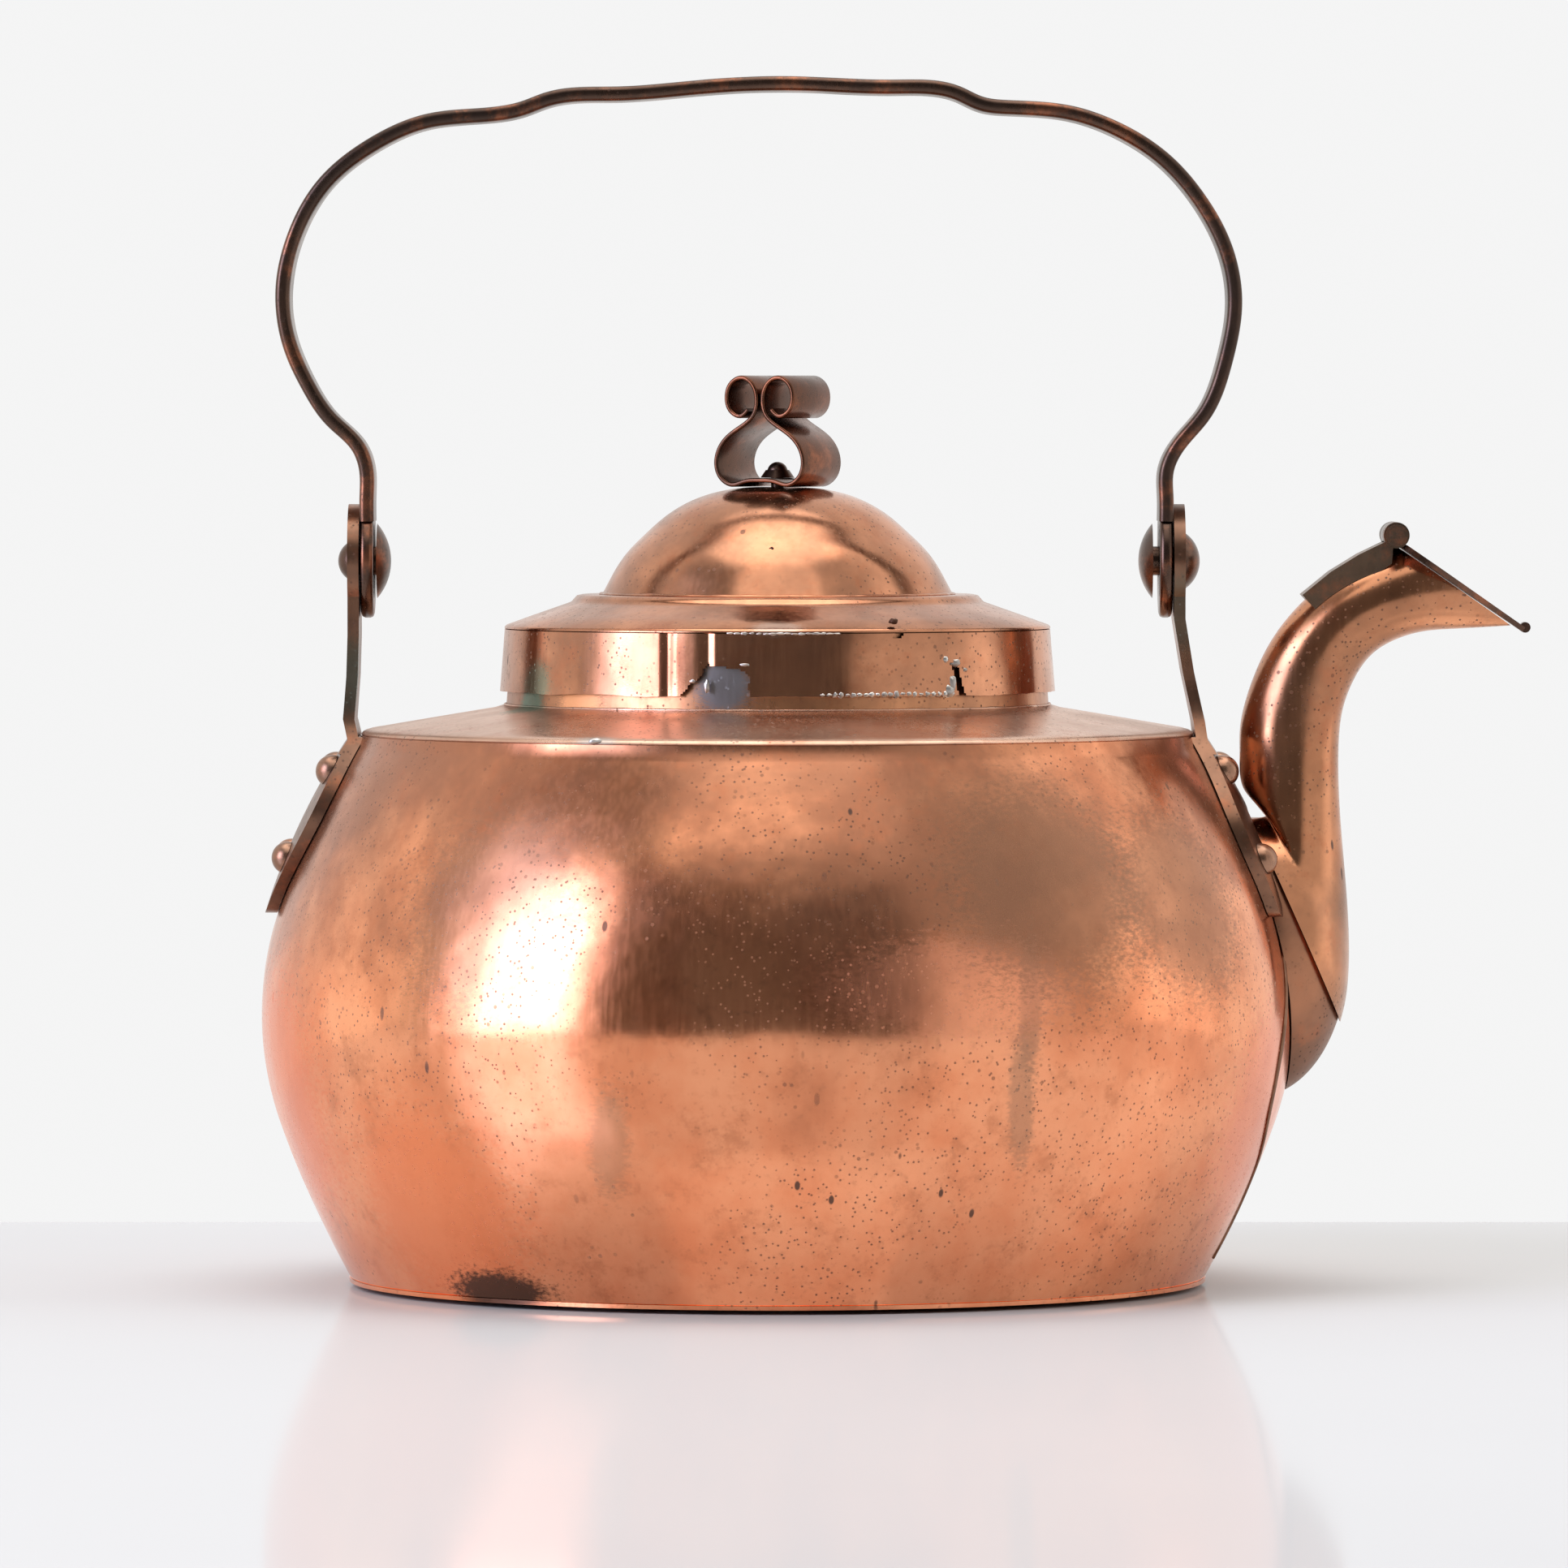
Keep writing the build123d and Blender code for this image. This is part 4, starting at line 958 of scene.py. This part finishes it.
BAIL_BACK_X = -100.9
BAIL_SPOUT_X = 95.5
PIVOT_HEIGHT = 178.2
BAIL_WIDTH = 21.8
BAIL_THICK = 3.6
BAIL_EDGE = 1.35
BAIL_THICK_SWAY = 0.07
BAIL_WIDTH_LOSS = 0.5
BAIL_BOW = (
    (BAIL_BACK_X, 188.0), (BAIL_BACK_X, 194.0), (BAIL_BACK_X, 200.0), (BAIL_BACK_X - 2.2, 206.5),
    (-109.4, 212.8), (-115.4, 221.6), (-119.6, 231.0), (-121.5, 243.2), (-118.6, 258.0), (-110.6, 271.6),
    (-100.1, 280.0), (-86.0, 286.2), (-69.0, 288.0), (-62.6, 289.3), (-56.6, 291.5), (-39.9, 292.9),
    (-18.0, 294.6), (5.2, 295.4), (28.0, 294.6), (44.6, 292.9), (49.6, 290.6), (56.6, 289.6), (72.0, 288.2),
    (84.2, 283.8), (94.8, 276.9), (104.1, 266.2), (110.1, 254.6), (112.3, 241.4), (110.0, 227.4),
    (104.6, 214.0), (98.6, 206.8), (BAIL_SPOUT_X, 200.0), (BAIL_SPOUT_X, 194.0), (BAIL_SPOUT_X, 188.0),
)
EYE_OUTLINE = (
    (3.68, -1.5), (3.78, -1.6), (13.0, -1.6), (13.7, -1.3), (14.0, -0.6),
    (14.0, 0.6), (13.7, 1.3), (13.0, 1.6), (3.78, 1.6), (3.68, 1.5),
)


def bail_section(u):
    """The strap's section, a little uneven along its length."""
    thick = BAIL_THICK + BAIL_THICK_SWAY * noise.noise(Vector((u * 40, 1, 2)))
    width = BAIL_WIDTH - BAIL_WIDTH_LOSS * half_up(noise.noise(Vector((u * 25, 5, 2))))
    return rounded(width, thick, BAIL_EDGE, 4)


def eye_mesh(x0):
    """The eye's outline of (radius, x) turned about the pivot."""
    rows = []
    for r, x in EYE_OUTLINE:
        rows.append([(x0 + x, r * cos(a), PIVOT_HEIGHT + r * sin(a)) for a in turns(72)])
    return grid(rows)


def make_bail():
    bow = strap(spline(BAIL_BOW, 420), bail_section, lambda x, z, across: (x, across, z))
    mesh = merge(bow, eye_mesh(BAIL_BACK_X), eye_mesh(BAIL_SPOUT_X))
    make_object("bail", *mesh, BAIL, "bail", ("bail_handle",), "copper_bail", 50)


# Spout: a loft through ellipses (upper x, upper z, lower x, lower z, half-width), lapped over its root

ROOT_CENTRE = (118.0, 80.0)
ROOT_DEPTH = 22.4
ROOT_HALF_WIDTH = 23.4
ROOT_HALF_HEIGHT = 34.0
LAP_POINT = (129.8, 90.8)
LAP_LEAN = radians(24.0)
LAP_LENGTH = 2.5
LAP_GROWTH = 1.2
TUBE_SHEET = 1.0
TUBE_FIT = 0.02
TUBE_SIDES = 72
MOUTH_TOP = (154.4, 180.4)
MOUTH_TIP = (179.8, 162.9)
SAME_POINT = 1e-6
ON_PLANE = 1e-5
TUBE_SECTIONS = (
    (115.2, 121.5, 140.2, 98.0, 14.2),
    (113.9, 130.5, 138.6, 118.0, 12.6),
    (114.4, 140.0, 138.4, 134.0, 11.9),
    (118.0, 151.4, 139.9, 143.6, 11.5),
    (123.8, 161.8, 143.6, 151.6, 11.2),
    (132.0, 170.6, 148.6, 156.8, 11.0),
    (142.4, 177.4, 156.4, 160.2, 10.6),
    (158.0, 183.0, 166.0, 161.4, 8.6),
    (180.6, 176.0, 181.6, 162.3, 3.4),
)


def lap_section(shift):
    """The root's section by the lap plane, moved along the tube by a shift."""
    step = (sin(LAP_LEAN), -cos(LAP_LEAN))
    sx, sz = LAP_POINT[0] - shift * step[1], LAP_POINT[1] + shift * step[0]
    dx, dz = (sx - ROOT_CENTRE[0]) / ROOT_DEPTH, (sz - ROOT_CENTRE[1]) / ROOT_HALF_HEIGHT
    a = (step[0] / ROOT_DEPTH) ** 2 + (step[1] / ROOT_HALF_HEIGHT) ** 2
    b = dx * step[0] / ROOT_DEPTH + dz * step[1] / ROOT_HALF_HEIGHT
    half = sqrt(b * b - a * (dx * dx + dz * dz - 1)) / a
    upper, lower = -b / a - half, -b / a + half
    return (
        sx + upper * step[0], sz + upper * step[1],
        sx + lower * step[0], sz + lower * step[1],
        ROOT_HALF_WIDTH * half * sqrt(a),
    )


def grown(section, extra):
    """A section made larger by an amount all round."""
    ux, uz, lx, lz, half_width = section
    d = np.array((ux - lx, uz - lz))
    d /= np.linalg.norm(d)
    return ux + d[0] * extra, uz + d[1] * extra, lx - d[0] * extra, lz - d[1] * extra, half_width + extra


def tube_surface(sections, grow):
    """Rings of points round the tube, grown by an amount."""
    rows = []
    for section in sections:
        ux, uz, lx, lz, half_width = grown(section, grow)
        middle = ((ux + lx) / 2, (uz + lz) / 2)
        half = ((ux - lx) / 2, (uz - lz) / 2)
        rows.append([
            (middle[0] + half[0] * cos(a), half_width * sin(a), middle[1] + half[1] * cos(a))
            for a in turns(TUBE_SIDES)
        ])
    return rows


def join_rings(bm, first, second):
    """Faces between two rings of the tube."""
    for k in range(TUBE_SIDES):
        after = (k + 1) % TUBE_SIDES
        bm.faces.new((first[k], first[after], second[after], second[k]))


def cut_mouth(bm):
    """Cuts the tube off along the mouth's slope and closes the sheet's edge there."""
    slope = (MOUTH_TIP[0] - MOUTH_TOP[0], MOUTH_TIP[1] - MOUTH_TOP[1])
    normal = Vector((-slope[1], 0, slope[0])).normalized()
    point = Vector((MOUTH_TOP[0] * MM, 0, MOUTH_TOP[1] * MM))
    geom = bm.verts[:] + bm.edges[:] + bm.faces[:]
    bmesh.ops.bisect_plane(bm, geom=geom, plane_co=point, plane_no=normal, clear_outer=True)
    bmesh.ops.remove_doubles(bm, verts=bm.verts[:], dist=SAME_POINT)
    rim = []
    for edge in bm.edges:
        on_plane = all(abs((v.co - point).dot(normal)) < ON_PLANE for v in edge.verts)
        if edge.is_boundary and on_plane:
            rim.append(edge)
    bmesh.ops.bridge_loops(bm, edges=rim)


def spout_mesh():
    """The tube's outer and inner surface, closed at the lap and cut at the mouth."""
    lap = [grown(lap_section(-LAP_LENGTH), LAP_GROWTH), grown(lap_section(0), LAP_GROWTH)]
    sections = spline([*lap, *TUBE_SECTIONS], 130)
    bm = bmesh.new()
    ends = []
    for grow in (-TUBE_FIT, -TUBE_SHEET):
        rings = []
        for row in tube_surface(sections, grow):
            rings.append([bm.verts.new(tuple(c * MM for c in p)) for p in row])
        for first, second in zip(rings, rings[1:]):
            join_rings(bm, first, second)
        ends.append(rings[0])
    join_rings(bm, *ends)
    cut_mouth(bm)
    bmesh.ops.recalc_face_normals(bm, faces=bm.faces)
    mesh = bpy.data.meshes.new("spout")
    bm.to_mesh(mesh)
    bm.free()
    return [tuple(v.co / MM) for v in mesh.vertices], [tuple(p.vertices) for p in mesh.polygons]


def make_spout():
    make_object("spout", *spout_mesh(), SPOUT, "pot", ("spout_tube",), "copper_spout", 40)


# Table, in metres: it ends behind the pot where the photograph's does

TABLE_BACK = 0.227
TABLE_REACH = 3
TABLE_DROP = 0.0002
TABLE_COLOR = (0.46, 0.46, 0.465)
TABLE_ROUGHNESS = 0.07
TABLE_GLOSS = 0.24


def table_material():
    """A white board with a faint reflection that is as strong at every angle."""
    mat, t, bsdf = new_material("table_white")
    tint = t.noise(scale=3.0, detail=3, rough=0.5, coords=t.coords())
    darker = tuple(c * 0.985 for c in TABLE_COLOR)
    t.set(bsdf.inputs["Base Color"], t.mix(t.ramp(tint, 0.3, 0.7), TABLE_COLOR, darker))
    bsdf.inputs["Roughness"].default_value = TABLE_ROUGHNESS
    bsdf.inputs["Specular IOR Level"].default_value = 0.0
    gloss = t.new("ShaderNodeBsdfGlossy")
    gloss.inputs["Roughness"].default_value = TABLE_ROUGHNESS
    blend = t.new("ShaderNodeMixShader")
    blend.inputs[0].default_value = TABLE_GLOSS
    t.link(bsdf.outputs[0], blend.inputs[1])
    t.link(gloss.outputs[0], blend.inputs[2])
    t.link(blend.outputs[0], mat.node_tree.nodes["Material Output"].inputs["Surface"])
    return mat


def make_table():
    low, far = -TABLE_DROP, TABLE_REACH
    corners = [(-far, -far, low), (far, -far, low), (far, TABLE_BACK, low), (-far, TABLE_BACK, low)]
    mesh = bpy.data.meshes.new("table")
    mesh.from_pydata(corners, [], [(0, 1, 2, 3)])
    table = bpy.data.objects.new("table", mesh)
    bpy.context.scene.collection.objects.link(table)
    mesh.materials.append(table_material())


# Room that the copper reflects, as boxes of (left, right, low, high, soft edge) in degrees.
# From the pot, 0 is towards the camera, right is positive and up is positive.

ROOM_LEVEL = 0.31
BACK_LEVEL = 0.61
LEAST_LEVEL = 0.03
BACKGROUND = (0.91, 0.91, 0.91)
ROOM_COLOR = (1.0, 0.985, 0.965)
WINDOW_COLOR = (0.88, 0.94, 1.3)
FRONT_SHADE = (-40, 31, -60, 43, 3)
WINDOW = (-80, -42, -4, 40, 5)
WINDOW_CORE = (-72, -47, 0, 34, 5)
UPPER_SCREEN = (-36, 40, 44, 62, 3)
RIGHT_WALL = (36, 110, -10, 60, 8)
LEFT_WALL = (-125, -92, -10, 60, 8)
CEILING_EDGE = (58, 68)


def box_mask(t, azimuth, elevation, box):
    """1 inside a box of directions, fading over its edges."""
    left, right, low, high, soft = box
    mask = t.ramp(azimuth, radians(left - soft), radians(left + soft))
    mask = t.times(mask, t.ramp(azimuth, radians(right + soft), radians(right - soft)))
    mask = t.times(mask, t.ramp(elevation, radians(low - soft), radians(low + soft)))
    return t.times(mask, t.ramp(elevation, radians(high + soft), radians(high - soft)))


def background(t, color, strength):
    node = t.new("ShaderNodeBackground")
    t.set(node.inputs["Color"], color)
    t.set(node.inputs["Strength"], strength)
    return node.outputs[0]


def make_room():
    """A plain background for the camera, and for everything else the room's boxes of light."""
    world = bpy.data.worlds.new("studio")
    bpy.context.scene.world = world
    world.use_nodes = True
    world.node_tree.nodes.clear()
    t = Tree(world.node_tree)
    where = t.new("ShaderNodeTexCoord")
    split = t.new("ShaderNodeSeparateXYZ")
    t.link(where.outputs["Generated"], split.inputs[0])
    x, y, z = split.outputs
    azimuth = t.math("ARCTAN2", x, t.times(y, -1.0))
    elevation = t.math("ARCSINE", z)
    window = box_mask(t, azimuth, elevation, WINDOW)
    ceiling = t.ramp(elevation, radians(CEILING_EDGE[0]), radians(CEILING_EDGE[1]))

    level = t.add(ROOM_LEVEL, t.times(t.ramp(y, -0.25, 0.15), BACK_LEVEL))
    for mask, gain in (
        (box_mask(t, azimuth, elevation, FRONT_SHADE), -0.19),
        (window, 2.4),
        (box_mask(t, azimuth, elevation, WINDOW_CORE), 3.6),
        (box_mask(t, azimuth, elevation, UPPER_SCREEN), 1.1),
        (ceiling, 2.2),
        (box_mask(t, azimuth, elevation, RIGHT_WALL), 0.45),
        (box_mask(t, azimuth, elevation, LEFT_WALL), 0.12),
    ):
        level = t.add(level, t.times(mask, gain))
    level = t.most(level, LEAST_LEVEL)

    ray = t.new("ShaderNodeLightPath")
    pick = t.new("ShaderNodeMixShader")
    out = t.new("ShaderNodeOutputWorld")
    t.link(ray.outputs["Is Camera Ray"], pick.inputs[0])
    t.link(background(t, t.mix(window, ROOM_COLOR, WINDOW_COLOR), level), pick.inputs[1])
    t.link(background(t, (*BACKGROUND, 1), 1.0), pick.inputs[2])
    t.link(pick.outputs[0], out.inputs["Surface"])


# Lamps as (name, place, aim, size, watts), in metres; metal doesn't mirror them

LAMPS = (
    ("key", (-1.1, -1.2, 1.2), (0, 0, 0.12), (0.7, 0.9), 15),
    ("fill", (1.6, -0.7, 0.7), (0, 0, 0.12), (0.6, 1.0), 7),
    ("top", (0.1, 0.3, 1.7), (0, 0, 0.1), (1.2, 1.0), 12),
)


def make_lamps():
    for name, at, toward, size, watts in LAMPS:
        light = bpy.data.lights.new(name, "AREA")
        light.shape = "RECTANGLE"
        light.size, light.size_y = size
        light.energy = watts
        obj = bpy.data.objects.new(name, light)
        obj.location = at
        obj.rotation_euler = (Vector(toward) - Vector(at)).to_track_quat("-Z", "Y").to_euler()
        obj.visible_glossy = False
        bpy.context.scene.collection.objects.link(obj)


# Camera, in metres and degrees: so far off, a pixel on the pot's axis measures PIXEL

SENSOR = 36.0
CAMERA_DISTANCE = 3.0
CAMERA_PLACE = (0.0016, -CAMERA_DISTANCE, 0.216)
CAMERA_DOWN = 1.772
FOCAL_PIXELS = CAMERA_DISTANCE / (PIXEL * MM)


def make_camera():
    data = bpy.data.cameras.new("photo_camera")
    data.sensor_width = SENSOR
    data.lens = FOCAL_PIXELS / PHOTO_WIDTH * SENSOR
    cam = bpy.data.objects.new("photo_camera", data)
    cam.location = CAMERA_PLACE
    cam.rotation_euler = (radians(90 - CAMERA_DOWN), 0, 0)
    bpy.context.scene.collection.objects.link(cam)
    bpy.context.scene.camera = cam
    bpy.context.scene.view_settings.view_transform = "Standard"


dress_cad_nodes()
make_bowl()
make_side_seam()
make_shoulder()
make_collar()
make_skirt()
make_lid_plate()
make_dome()
make_bead_rings()
make_skirt_solder()
make_blobs()
make_knob()
make_bail()
make_spout()
make_table()
make_room()
make_lamps()
make_camera()
